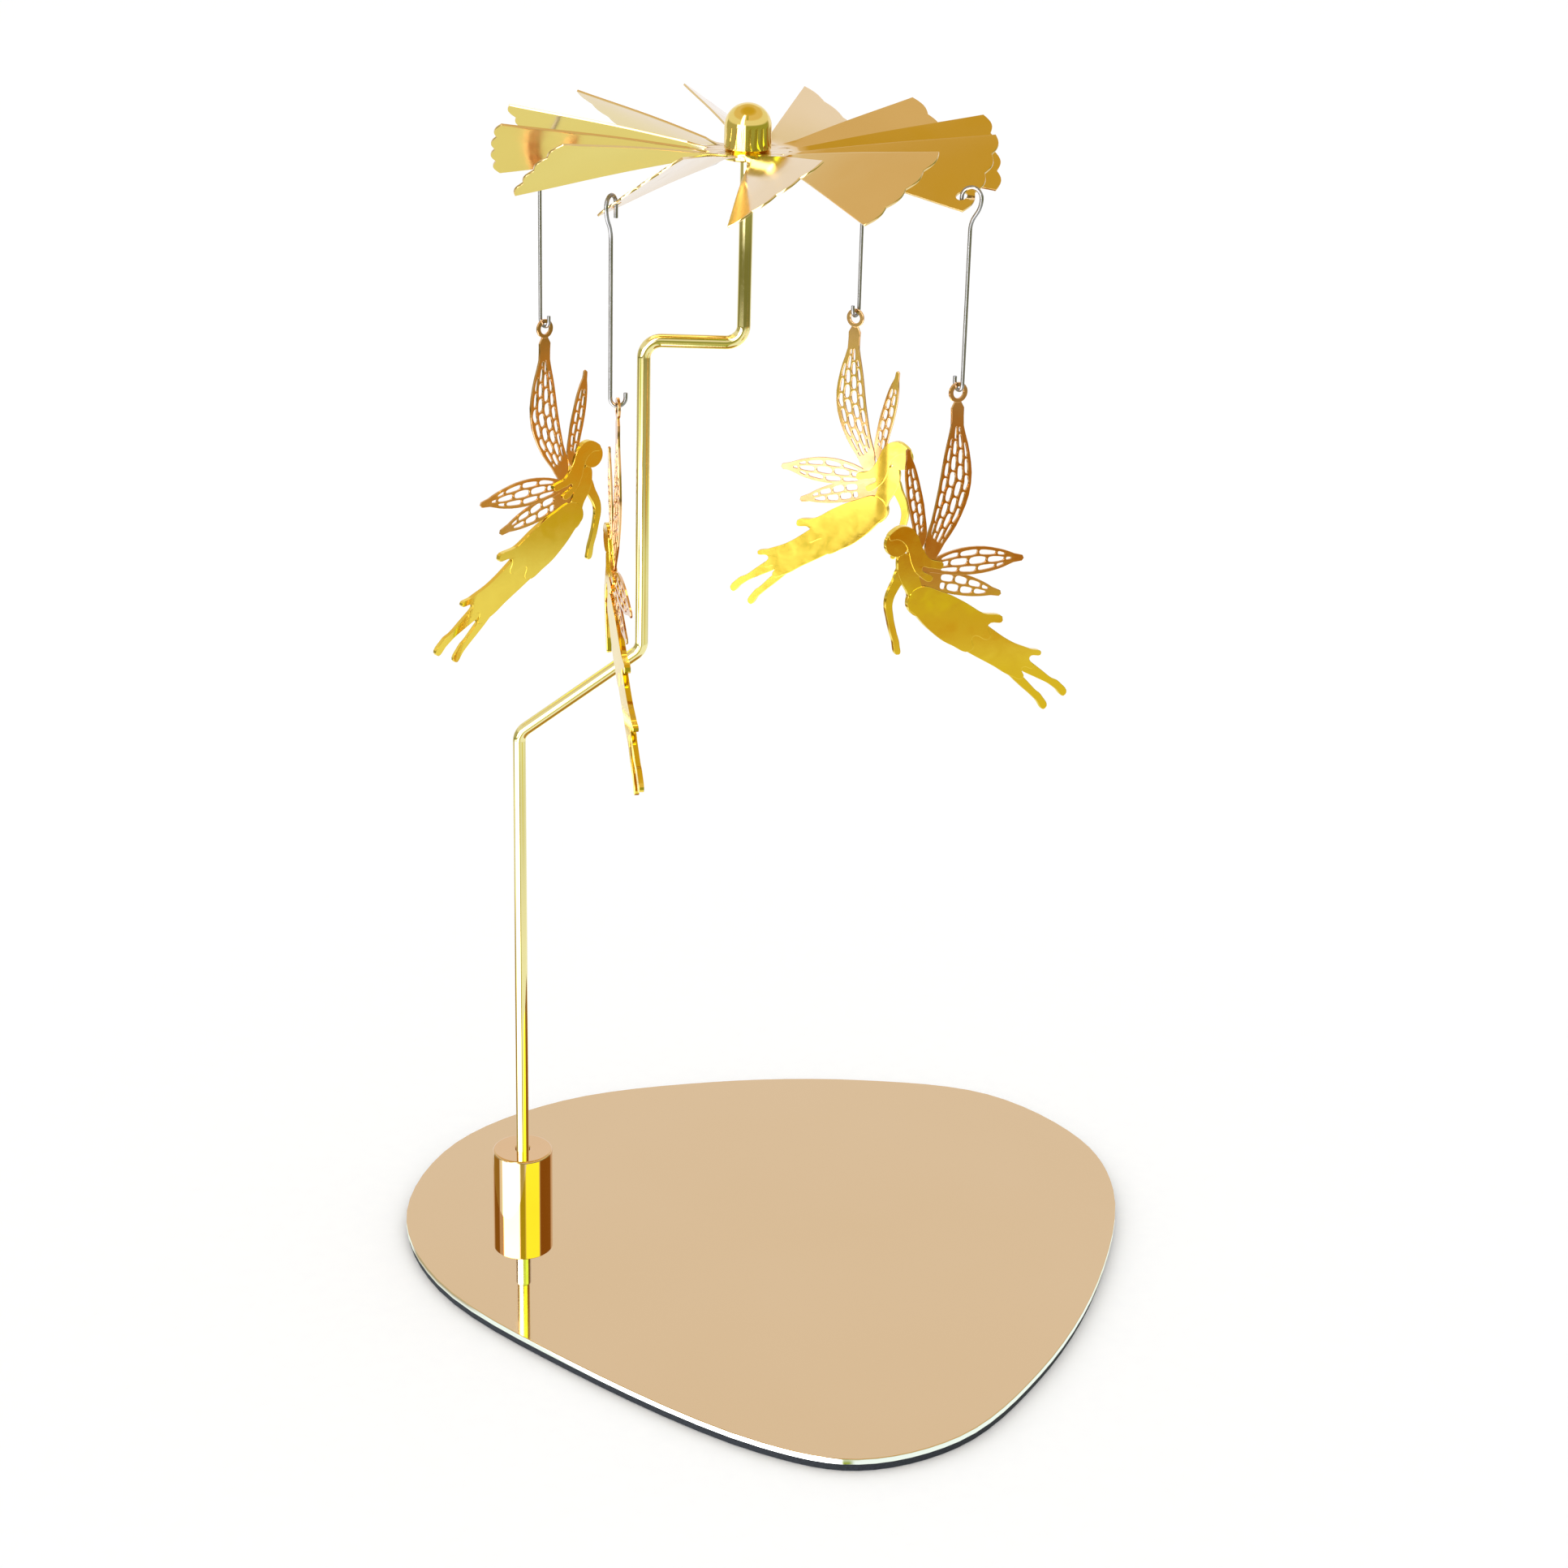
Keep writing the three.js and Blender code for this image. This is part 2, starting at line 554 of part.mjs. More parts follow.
function hookPath(hanger) {
  const spot = (out, up) => new THREE.Vector3(out, holeTangent, holeDrop + up);
  const path = [spot(holeOut, -HOOK_TAIL), spot(holeOut, 0)];
  for (let i = 1; i <= LOOP_STEPS; i += 1) {
    const swing = Math.PI * i / LOOP_STEPS;
    path.push(spot(shankOut - upperLoopRadius * Math.cos(swing), upperLoopRadius * Math.sin(swing)));
  }
  const neck = new THREE.CubicBezierCurve3(
    spot(loopOut, 0),
    spot(loopOut, -HOOK_NECK_DROP / 2),
    spot(shankOut, -HOOK_NECK_DROP / 2),
    spot(shankOut, -HOOK_NECK_DROP),
  );
  path.push(...neck.getPoints(BEND_STEPS).slice(1));
  const { across, place } = pendantPlace(hanger);
  for (let i = 0; i <= LOOP_STEPS; i += 1) {
    const swing = Math.PI * i / LOOP_STEPS;
    const bend = place.clone().addScaledVector(across, -lowerLoopRadius * Math.cos(swing));
    bend.z = lowerLoopDrop + lowerLoopRadius * (1 - Math.sin(swing));
    path.push(bend);
  }
  const tail = path[path.length - 1].clone();
  tail.z += LOWER_LOOP_TAIL;
  path.push(tail);
  return path;
}

// Fairy pendant: pierced wings under a thicker figure, with a ring for the hook at its top
function cellOutline([[startX, startY], [endX, endY], width]) {
  const along = new THREE.Vector2(endX - startX, endY - startY);
  const across = new THREE.Vector2(-along.y, along.x).normalize();
  const outline = [];
  for (let i = 0; i < CELL_STEPS; i += 1) {
    const swing = Math.PI * 2 * i / CELL_STEPS;
    const share = 0.5 - 0.5 * Math.cos(swing);
    const point = new THREE.Vector2(startX, startY).addScaledVector(along, share);
    outline.push(point.addScaledVector(across, width / 2 * Math.sin(swing)));
  }
  return outline;
}

function layer(outline, thickness) {
  return solidOf(sheetOf(new THREE.Shape(outline), thickness).translate(0, 0, -thickness / 2));
}

function circleOutline([x, y], radius) {
  const outline = [];
  for (let i = 0; i < SMALL_ROUND_SIDES; i += 1) {
    const swing = Math.PI * 2 * i / SMALL_ROUND_SIDES;
    outline.push(new THREE.Vector2(x + radius * Math.cos(swing), y + radius * Math.sin(swing)));
  }
  return outline;
}

function smoothLayer(points, thickness) {
  return layer(smoothOutline(points, points.length * STEPS_PER_OUTLINE_POINT), thickness);
}

function trailingFromWaist(points) {
  const fall = THREE.MathUtils.degToRad(GOWN_FALL);
  const [waistX, waistY] = WAIST;
  return points.map(([along, above]) => [
    waistX - along * Math.cos(fall) - above * Math.sin(fall),
    waistY - along * Math.sin(fall) + above * Math.cos(fall),
  ]);
}

function pendantGeometry() {
  const ringCentre = [0, 0];
  let figure = layer(circleOutline(ringCentre, ringHoleRadius + RING_WALL), PENDANT_SHEET);
  for (const wing of [TALL_WING, FAR_WING, MIDDLE_WING, LOW_WING]) {
    figure = figure.add(smoothLayer(wing, PENDANT_SHEET));
  }
  for (const cell of WING_CELLS) {
    figure = figure.subtract(layer(cellOutline(cell), 2 * PENDANT_SHEET));
  }
  figure = figure.subtract(layer(circleOutline(ringCentre, ringHoleRadius), 2 * PENDANT_SHEET));
  for (const limb of [BODICE, ARM]) {
    figure = figure.add(smoothLayer(limb, FIGURE_THICKNESS));
  }
  for (const limb of [OVERSKIRT, GOWN, NEAR_LEG, FAR_LEG]) {
    figure = figure.add(smoothLayer(trailingFromWaist(limb), FIGURE_THICKNESS));
  }
  figure = figure.add(layer(circleOutline(HEAD_CENTRE, HEAD_RADIUS), FIGURE_THICKNESS));
  figure = figure.add(smoothLayer(HAIR, HAIR_THICKNESS));
  return geometryOf(figure).rotateX(Math.PI / 2);
}

for (const hanger of HANGERS) {
  const bladeFrame = new THREE.Group();
  bladeFrame.rotation.z = bladeAngle(hanger.blade);
  wheel.add(bladeFrame);
  const hookWire = wireAlong(hookPath(hanger), WIRE_DIAMETER, WIRE_SIDES);
  addPart(bladeFrame, `hook_${hanger.place}`, hookWire, wireSteel);
  const pendant = addPart(bladeFrame, `fairy_${hanger.place}`, pendantGeometry(), pendantGold);
  const { turn, place } = pendantPlace(hanger);
  pendant.position.copy(place);
  pendant.rotation.z = turn;
}

export default holder;
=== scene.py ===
# Rotating candle holder. A bent rod stands in a post on a mirror-polished base and carries a fan
# wheel on its point. Four fairy pendants hang from the wheel on wire hooks.
# Metres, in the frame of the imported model.
import json
import math

import bmesh
import bpy
from mathutils import Matrix, Vector


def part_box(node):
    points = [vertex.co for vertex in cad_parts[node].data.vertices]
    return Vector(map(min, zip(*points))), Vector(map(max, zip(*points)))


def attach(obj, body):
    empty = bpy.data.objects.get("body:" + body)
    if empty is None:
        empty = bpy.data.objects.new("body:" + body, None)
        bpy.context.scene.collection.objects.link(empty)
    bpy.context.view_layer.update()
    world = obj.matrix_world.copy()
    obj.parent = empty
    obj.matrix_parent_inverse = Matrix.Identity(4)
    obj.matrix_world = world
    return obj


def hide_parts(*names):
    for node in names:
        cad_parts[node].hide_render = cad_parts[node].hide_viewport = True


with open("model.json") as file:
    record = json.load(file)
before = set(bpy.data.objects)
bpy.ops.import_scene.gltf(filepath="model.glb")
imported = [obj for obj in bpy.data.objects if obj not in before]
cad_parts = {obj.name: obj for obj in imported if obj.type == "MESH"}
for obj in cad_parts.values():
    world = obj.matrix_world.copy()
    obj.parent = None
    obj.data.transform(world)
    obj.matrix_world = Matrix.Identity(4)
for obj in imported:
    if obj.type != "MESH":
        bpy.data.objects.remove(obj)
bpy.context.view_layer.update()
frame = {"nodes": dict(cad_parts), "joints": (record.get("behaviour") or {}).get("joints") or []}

# Camera. The photograph looks down on the holder from the front, a little turned about its own
# line of sight, through a long lens.
CAMERA_PLACE = (0.0016, -0.5131, 0.3081)
CAMERA_PITCH = math.radians(21.59)
CAMERA_ROLL = math.radians(1.62)
FOCAL_PIXELS = 3521
PHOTO_PIXELS = 1932
NEAREST_SEEN = 0.01

camera = bpy.data.objects.new("camera", bpy.data.cameras.new("camera"))
bpy.context.scene.collection.objects.link(camera)
camera.data.lens = camera.data.sensor_width * FOCAL_PIXELS / PHOTO_PIXELS
camera.data.clip_start = NEAREST_SEEN
camera.matrix_world = (
    Matrix.Translation(CAMERA_PLACE)
    @ Matrix.Rotation(math.pi / 2 - CAMERA_PITCH, 4, "X")
    @ Matrix.Rotation(CAMERA_ROLL, 4, "Z")
)
bpy.context.scene.camera = camera

# Base plate. A pebble-shaped sheet of bright steel with a mirror-polished gold face. Its cut edge is
# eased a little, shows the bare steel and catches the light as a pale line.
MM = 0.001
WELD = 0.002 * MM
FLAT = math.radians(0.5)
SHARP = math.radians(40)
PLATE_EASE = 0.18 * MM
MIRROR_GOLD = (0.70, 0.515, 0.305)
MIRROR_GOLD_DEEP = (0.68, 0.49, 0.275)
BARE_EDGE = (0.84, 0.88, 0.87)
EDGE_SLOPE = (0.25, 0.8)
TONE_DETAIL = 3
SMUDGE_DETAIL = 6
SMUDGE_SWIRL = 0.8
SMUDGES_PER_PATCH = 2.3
SMUDGE_RANGE = (0.35, 0.75)
LINE_DETAIL = 4
LINE_DEPTH = 0.02 * MM


def work_on(piece):
    bpy.ops.object.select_all(action="DESELECT")
    piece.select_set(True)
    bpy.context.view_layer.objects.active = piece


def start_edit(piece):
    work_on(piece)
    bpy.ops.object.mode_set(mode="EDIT")
    bpy.ops.mesh.select_all(action="SELECT")


def end_edit():
    bpy.ops.object.mode_set(mode="OBJECT")


def copy_of_node(node, name):
    """A welded copy of a CAD node, with its flat faces made whole."""
    piece = bpy.data.objects.new(name, frame["nodes"][node].data.copy())
    bpy.context.scene.collection.objects.link(piece)
    start_edit(piece)
    bpy.ops.mesh.remove_doubles(threshold=WELD)
    bpy.ops.mesh.dissolve_limited(angle_limit=FLAT)
    end_edit()
    return piece


def apply_modifier(piece, kind, **settings):
    work_on(piece)
    modifier = piece.modifiers.new(kind.lower(), kind)
    for setting, value in settings.items():
        setattr(modifier, setting, value)
    bpy.ops.object.modifier_apply(modifier=modifier.name)


def ease_edges(piece, width, steps=3):
    apply_modifier(piece, "BEVEL", width=width, segments=steps, limit_method="ANGLE", angle_limit=SHARP)


def smooth(piece, angle=SHARP):
    """Smooth shading up to an angle, with the large flat faces kept flat."""
    work_on(piece)
    bpy.ops.object.shade_smooth_by_angle(angle=angle)
    apply_modifier(piece, "WEIGHTED_NORMAL", keep_sharp=True)


def give_finish(piece, material):
    piece.data.materials.clear()
    piece.data.materials.append(material)


def put_in_place(piece, node, body, material):
    give_finish(piece, material)
    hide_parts(node)
    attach(piece, body)


def polish_marks():
    """Marks of polishing and handling: patchy tone, smudges in the gloss and fine drawn lines."""
    group = bpy.data.node_groups.new("polish marks", "ShaderNodeTree")
    for name in ("Patch Scale", "Least Roughness", "Most Roughness"):
        group.interface.new_socket(name, in_out="INPUT", socket_type="NodeSocketFloat")
    group.interface.new_socket("Line Scale", in_out="INPUT", socket_type="NodeSocketVector")
    for name in ("Tone", "Roughness", "Height"):
        group.interface.new_socket(name, in_out="OUTPUT", socket_type="NodeSocketFloat")
    nodes, links = group.nodes, group.links
    inputs = nodes.new("NodeGroupInput")
    outputs = nodes.new("NodeGroupOutput")
    place = nodes.new("ShaderNodeTexCoord")

    tone = nodes.new("ShaderNodeTexNoise")
    tone.inputs["Detail"].default_value = TONE_DETAIL
    links.new(place.outputs["Object"], tone.inputs["Vector"])
    links.new(inputs.outputs["Patch Scale"], tone.inputs["Scale"])
    links.new(tone.outputs["Fac"], outputs.inputs["Tone"])

    smudge = nodes.new("ShaderNodeTexNoise")
    smudge.inputs["Detail"].default_value = SMUDGE_DETAIL
    smudge.inputs["Distortion"].default_value = SMUDGE_SWIRL
    finer = nodes.new("ShaderNodeMath")
    finer.operation = "MULTIPLY"
    finer.inputs[1].default_value = SMUDGES_PER_PATCH
    links.new(inputs.outputs["Patch Scale"], finer.inputs[0])
    links.new(place.outputs["Object"], smudge.inputs["Vector"])
    links.new(finer.outputs[0], smudge.inputs["Scale"])
    gloss = nodes.new("ShaderNodeMapRange")
    gloss.inputs["From Min"].default_value, gloss.inputs["From Max"].default_value = SMUDGE_RANGE
    links.new(smudge.outputs["Fac"], gloss.inputs["Value"])
    links.new(inputs.outputs["Least Roughness"], gloss.inputs["To Min"])
    links.new(inputs.outputs["Most Roughness"], gloss.inputs["To Max"])
    links.new(gloss.outputs["Result"], outputs.inputs["Roughness"])

    stretched = nodes.new("ShaderNodeVectorMath")
    stretched.operation = "MULTIPLY"
    links.new(place.outputs["Object"], stretched.inputs[0])
    links.new(inputs.outputs["Line Scale"], stretched.inputs[1])
    lines = nodes.new("ShaderNodeTexNoise")
    lines.inputs["Scale"].default_value = 1
    lines.inputs["Detail"].default_value = LINE_DETAIL
    links.new(stretched.outputs["Vector"], lines.inputs["Vector"])
    links.new(lines.outputs["Fac"], outputs.inputs["Height"])
    return group


POLISH_MARKS = polish_marks()


def plated_metal(name, light, deep, patch_scale, gloss, line_scale, line_strength):
    """A polished metal whose tone wanders between two colours under its polishing marks."""
    material = bpy.data.materials.new(name)
    material.use_nodes = True
    nodes, links = material.node_tree.nodes, material.node_tree.links
    shader = nodes["Principled BSDF"]
    shader.inputs["Metallic"].default_value = 1
    marks = nodes.new("ShaderNodeGroup")
    marks.node_tree = POLISH_MARKS
    marks.inputs["Patch Scale"].default_value = patch_scale
    marks.inputs["Least Roughness"].default_value, marks.inputs["Most Roughness"].default_value = gloss
    marks.inputs["Line Scale"].default_value = line_scale
    tint = nodes.new("ShaderNodeMix")
    tint.name = "tint"
    tint.data_type = "RGBA"
    tint.inputs["A"].default_value = (*deep, 1)
    tint.inputs["B"].default_value = (*light, 1)
    links.new(marks.outputs["Tone"], tint.inputs["Factor"])
    links.new(tint.outputs["Result"], shader.inputs["Base Color"])
    links.new(marks.outputs["Roughness"], shader.inputs["Roughness"])
    bump = nodes.new("ShaderNodeBump")
    bump.inputs["Strength"].default_value = line_strength
    bump.inputs["Distance"].default_value = LINE_DEPTH
    links.new(marks.outputs["Height"], bump.inputs["Height"])
    links.new(bump.outputs["Normal"], shader.inputs["Normal"])
    return material


def retint(material, mask, colour):
    """Lets a metal turn to another colour as a mask goes from nothing to one."""
    nodes, links = material.node_tree.nodes, material.node_tree.links
    other = nodes.new("ShaderNodeMix")
    other.data_type = "RGBA"
    other.inputs["B"].default_value = (*colour, 1)
    links.new(mask, other.inputs["Factor"])
    links.new(nodes["tint"].outputs["Result"], other.inputs["A"])
    links.new(other.outputs["Result"], nodes["Principled BSDF"].inputs["Base Color"])


def upright_faces(material):
    """A mask that is one on faces that stand upright and nothing on level ones."""
    nodes, links = material.node_tree.nodes, material.node_tree.links
    surface = nodes.new("ShaderNodeNewGeometry")
    parts = nodes.new("ShaderNodeSeparateXYZ")
    links.new(surface.outputs["True Normal"], parts.inputs["Vector"])
    slope = nodes.new("ShaderNodeMath")
    slope.operation = "ABSOLUTE"
    links.new(parts.outputs["Z"], slope.inputs[0])
    mask = nodes.new("ShaderNodeMapRange")
    mask.inputs["From Min"].default_value, mask.inputs["From Max"].default_value = EDGE_SLOPE
    mask.inputs["To Min"].default_value, mask.inputs["To Max"].default_value = 1, 0
    links.new(slope.outputs[0], mask.inputs["Value"])
    return mask.outputs["Result"]


mirror_gold = plated_metal(
    "mirror gold", MIRROR_GOLD, MIRROR_GOLD_DEEP, patch_scale=22, gloss=(0.04, 0.08),
    line_scale=(4000, 250, 4000), line_strength=0.02,
)
retint(mirror_gold, upright_faces(mirror_gold), BARE_EDGE)
plate = copy_of_node("base_plate", "base_plate_sheet")
ease_edges(plate, PLATE_EASE)
smooth(plate)
put_in_place(plate, "base_plate", "stand", mirror_gold)

# Base pad. A sheet of dark closed-cell foam, glued under the plate to spare the table. It shows as
# a dark line below the plate's bright edge.
PAD_EASE = 0.25 * MM
FOAM_DARK = (0.006, 0.009, 0.016)
FOAM_LIGHT = (0.022, 0.028, 0.04)
FOAM_CELLS_PER_METRE = 2600
FOAM_CELL_DEPTH = 0.1 * MM
FOAM_RELIEF = 0.5
FOAM_ROUGHNESS = 0.85


def foam(name):
    material = bpy.data.materials.new(name)
    material.use_nodes = True
    nodes, links = material.node_tree.nodes, material.node_tree.links
    shader = nodes["Principled BSDF"]
    place = nodes.new("ShaderNodeTexCoord")
    cells = nodes.new("ShaderNodeTexVoronoi")
    cells.inputs["Scale"].default_value = FOAM_CELLS_PER_METRE
    links.new(place.outputs["Object"], cells.inputs["Vector"])
    tint = nodes.new("ShaderNodeMix")
    tint.data_type = "RGBA"
    tint.inputs["A"].default_value = (*FOAM_LIGHT, 1)
    tint.inputs["B"].default_value = (*FOAM_DARK, 1)
    links.new(cells.outputs["Distance"], tint.inputs["Factor"])
    links.new(tint.outputs["Result"], shader.inputs["Base Color"])
    shader.inputs["Roughness"].default_value = FOAM_ROUGHNESS
    bump = nodes.new("ShaderNodeBump")
    bump.inputs["Strength"].default_value = FOAM_RELIEF
    bump.inputs["Distance"].default_value = FOAM_CELL_DEPTH
    links.new(cells.outputs["Distance"], bump.inputs["Height"])
    links.new(bump.outputs["Normal"], shader.inputs["Normal"])
    return material


pad = copy_of_node("base_pad", "base_pad_foam")
ease_edges(pad, PAD_EASE)
smooth(pad)
put_in_place(pad, "base_pad", "stand", foam("dark foam"))

# Post. A short bar turned from brass and gold plated, with eased rims and bored right through: its
# screw comes up from below and the rod stands on the screw's end. It is kept out of the plate's
# mirror image, where only the bright line of what it holds shows.
POST_RIM = 0.45 * MM
SOCKET_RADIUS = 1.55 * MM
SCREW_HOLE_RADIUS = 1.8 * MM
TURNING_STEPS = 96
RIM_STEPS = 5
POST_GOLD = (0.74, 0.50, 0.28)
POST_GOLD_DEEP = (0.70, 0.46, 0.24)


def rounded_rim(radius, height, ease, outward=True):
    """Points of a quarter round from a wall up to a flat, or from a flat down to a bore."""
    points = []
    for i in range(RIM_STEPS + 1):
        turn = math.pi / 2 * i / RIM_STEPS
        inset = ease * (1 - math.cos(turn)) if outward else -ease * (1 - math.sin(turn))
        drop = ease * (1 - math.sin(turn)) if outward else ease * (1 - math.cos(turn))
        points.append((radius - inset, height - drop))
    return points


def turned(name, axis, profile):
    """A piece turned about an upright axis from its profile of (radius, height) points."""
    bpy.ops.object.select_all(action="DESELECT")
    bpy.ops.mesh.primitive_plane_add(size=MM)
    piece = bpy.context.object
    piece.name = piece.data.name = name
    start_edit(piece)
    bpy.ops.mesh.merge(type="CENTER")
    points = [Vector((axis[0] + radius, axis[1], height)) for radius, height in profile]
    bpy.ops.transform.translate(value=points[0])
    for here, there in zip(points, points[1:]):
        bpy.ops.mesh.extrude_region_move(TRANSFORM_OT_translate={"value": there - here})
    bpy.ops.mesh.select_all(action="SELECT")
    bpy.ops.mesh.spin(steps=TURNING_STEPS, angle=math.tau, center=(axis[0], axis[1], 0), axis=(0, 0, 1))
    bpy.ops.mesh.select_all(action="SELECT")
    bpy.ops.mesh.remove_doubles(threshold=WELD)
    bpy.ops.mesh.normals_make_consistent(inside=False)
    end_edit()
    smooth(piece)
    return piece


post_low, post_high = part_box("post")
rod_low, rod_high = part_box("stand_rod")
post_axis = (post_low + post_high) / 2
post_radius = (post_high.x - post_low.x) / 2
post_gold = plated_metal(
    "post gold", POST_GOLD, POST_GOLD_DEEP, patch_scale=90, gloss=(0.03, 0.08),
    line_scale=(1500, 1500, 6000), line_strength=0.05,
)
post = turned("post_bar", post_axis, [
    (SCREW_HOLE_RADIUS, post_low.z),
    (post_radius - POST_RIM / 2, post_low.z),
    (post_radius, post_low.z + POST_RIM / 2),
    *rounded_rim(post_radius, post_high.z, POST_RIM),
    *rounded_rim(SOCKET_RADIUS, post_high.z, POST_RIM / 2, outward=False),
    (SOCKET_RADIUS, rod_low.z),
    (SCREW_HOLE_RADIUS, rod_low.z),
    (SCREW_HOLE_RADIUS, post_low.z),
])
put_in_place(post, "post", "stand", post_gold)
post.visible_glossy = False

# Post screw. A plain steel wafer-head screw, up through the plate into the post, its head let into
# the pad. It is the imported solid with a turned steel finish.
PLAIN_STEEL = (0.62, 0.63, 0.65)
PLAIN_STEEL_DEEP = (0.5, 0.51, 0.53)

plain_steel = plated_metal(
    "plain steel", PLAIN_STEEL, PLAIN_STEEL_DEEP, patch_scale=120, gloss=(0.18, 0.3),
    line_scale=(2000, 2000, 9000), line_strength=0.2,
)
give_finish(frame["nodes"]["post_screw"], plain_steel)

# Stand rod. One length of plated bar, bent four times round a small former: up, slanting in, up,
# level to the wheel's axis and up again, where it is ground to a point.
ROD_BEND = 3.2 * MM
LOWER_RISE = 112.3 * MM
SLANT_REACH = 23.2 * MM
SLANT_RISE = 17.6 * MM
MIDDLE_RISE = 59.1 * MM
POINT_LENGTH = 3 * MM
POINT_RADIUS = 0.2 * MM
ROD_SIDES = 40
BEND_STEPS = 12
ROD_GOLD = (0.86, 0.76, 0.42)
ROD_GOLD_DEEP = (0.80, 0.69, 0.34)


def start_wire(name, place, radius, sides):
    """The lower end of an upright wire, ready to be lengthened and bent."""
    bpy.ops.object.select_all(action="DESELECT")
    bpy.ops.mesh.primitive_circle_add(vertices=sides, radius=radius, fill_type="NGON", location=place)
    bpy.ops.object.transform_apply(location=True, rotation=True, scale=True)
    piece = bpy.context.object
    piece.name = piece.data.name = name
    start_edit(piece)
    return piece


def lengthen(offset):
    bpy.ops.mesh.extrude_region_move(TRANSFORM_OT_translate={"value": offset})


def bend(end, heading, new_heading, radius, steps=BEND_STEPS):
    """Bends the wire's end round a former towards a new heading. Returns where the end comes to."""
    axis = heading.cross(new_heading).normalized()
    return bend_about(end, end + axis.cross(heading) * radius, axis, heading.angle(new_heading), steps)


def bend_about(end, centre, axis, angle, steps=BEND_STEPS):
    bpy.ops.mesh.spin(steps=steps, angle=-angle, center=centre, axis=axis)
    return centre + Matrix.Rotation(angle, 3, axis) @ (end - centre)


def finish_wire(piece):
    bpy.ops.mesh.select_all(action="SELECT")
    bpy.ops.mesh.normals_make_consistent(inside=False)
    end_edit()
    smooth(piece)


wheel_spin = next(joint for joint in frame["joints"] if joint["name"] == "wheel_spin")
wheel_middle = Vector(wheel_spin["pos_m"])
rod_radius = rod_high.x - wheel_middle.x
rod_foot = Vector((post_axis.x, post_axis.y, rod_low.z))
slant_foot = post_low.z + LOWER_RISE
slant_top = slant_foot + SLANT_RISE
level = slant_top + MIDDLE_RISE
rod_corners = [
    Vector((post_axis.x, post_axis.y, slant_foot)),
    Vector((post_axis.x + SLANT_REACH, post_axis.y, slant_top)),
    Vector((post_axis.x + SLANT_REACH, post_axis.y, level)),
    Vector((wheel_middle.x, post_axis.y, level)),
    Vector((wheel_middle.x, post_axis.y, rod_high.z - POINT_LENGTH)),
]
rod = start_wire("stand_rod_bar", rod_foot, rod_radius, ROD_SIDES)
end = rod_foot
heading = Vector((0, 0, 1))
for corner, after in zip(rod_corners, rod_corners[1:]):
    new_heading = (after - corner).normalized()
    reach = ROD_BEND * math.tan(heading.angle(new_heading) / 2)
    lengthen(corner - heading * reach - end)
    end = bend(corner - heading * reach, heading, new_heading, ROD_BEND)
    heading = new_heading
lengthen(rod_corners[-1] - end)
lengthen((0, 0, POINT_LENGTH))
shrink = POINT_RADIUS / rod_radius
point = (wheel_middle.x, post_axis.y, rod_high.z)
bpy.ops.transform.resize(value=(shrink, shrink, 1), center_override=point)
finish_wire(rod)
rod_gold = plated_metal(
    "rod gold", ROD_GOLD, ROD_GOLD_DEEP, patch_scale=90, gloss=(0.04, 0.09),
    line_scale=(3000, 3000, 300), line_strength=0.05,
)
put_in_place(rod, "stand_rod", "stand", rod_gold)

# Fan wheel. One thin plated sheet, stamped with twelve scalloped blades whose necks are twisted so
# that rising air drives them round. Four of the blades are pierced for the hooks.
BLADES = 12
BLADE_PHASE = math.radians(7.3)
BLADE_TWIST = math.radians(35)
BLADE_TIP = 45.2 * MM
BLADE_HALF_WIDTH = 9.4 * MM
BLADE_ROWS = 10
BLADE_BOW = 0.35 * MM
HUB_RADIUS = 7.4 * MM
HUB_HOLE = 3.4 * MM
NECK_HALF_WIDTH = 1.3 * MM
NECK_LENGTH = 4 * MM
NECK_ROWS = 8
NECK_HALF_ANGLE = math.radians(10)
SCALLOPS = 4
SCALLOP_DEPTH = 0.8 * MM
SECTOR_STEPS = 48
SHEET = 0.4 * MM
SHEET_EASE = 0.07 * MM
HOOK_HOLE_OUT = 42.2 * MM
HOOK_HOLE_ACROSS = -6 * MM
HOOK_HOLE_RADIUS = 1 * MM
HOOK_HOLE_SIDES = 32
DRILL_DEPTH = 4 * SHEET
HOOK_BLADES = {"back_right": 2, "back_left": 5, "front_left": 8, "front_right": 11}
SHEET_GOLD = (0.80, 0.59, 0.31)
SHEET_GOLD_DEEP = (0.75, 0.54, 0.26)


def blade_angle(blade):
    return BLADE_PHASE + math.tau * blade / BLADES


def add_blade_row(piece, along, half_width):
    """Draws the blade's end edge out to a new row, along being a distance for each share across."""
    bpy.ops.mesh.extrude_region_move()
    mesh = bmesh.from_edit_mesh(piece.data)
    row = sorted((v for v in mesh.verts if v.select), key=lambda v: v.co.y)
    for i, vertex in enumerate(row):
        share = 2 * i / (len(row) - 1) - 1
        vertex.co = (along(share), share * half_width, 0)
    bmesh.update_edit_mesh(piece.data)


def scalloped_rim(share):
    across = share * BLADE_HALF_WIDTH
    wave = abs(math.sin(math.pi * SCALLOPS * (share + 1) / 2))
    return math.sqrt(BLADE_TIP ** 2 - across ** 2) - SCALLOP_DEPTH * (1 - wave)


def select_points(piece, chosen):
    mesh = bmesh.from_edit_mesh(piece.data)
    for part in (*mesh.faces, *mesh.edges, *mesh.verts):
        part.select = False
    for vertex in mesh.verts:
        vertex.select = chosen(vertex.co)
    mesh.select_flush(True)
    bmesh.update_edit_mesh(piece.data)


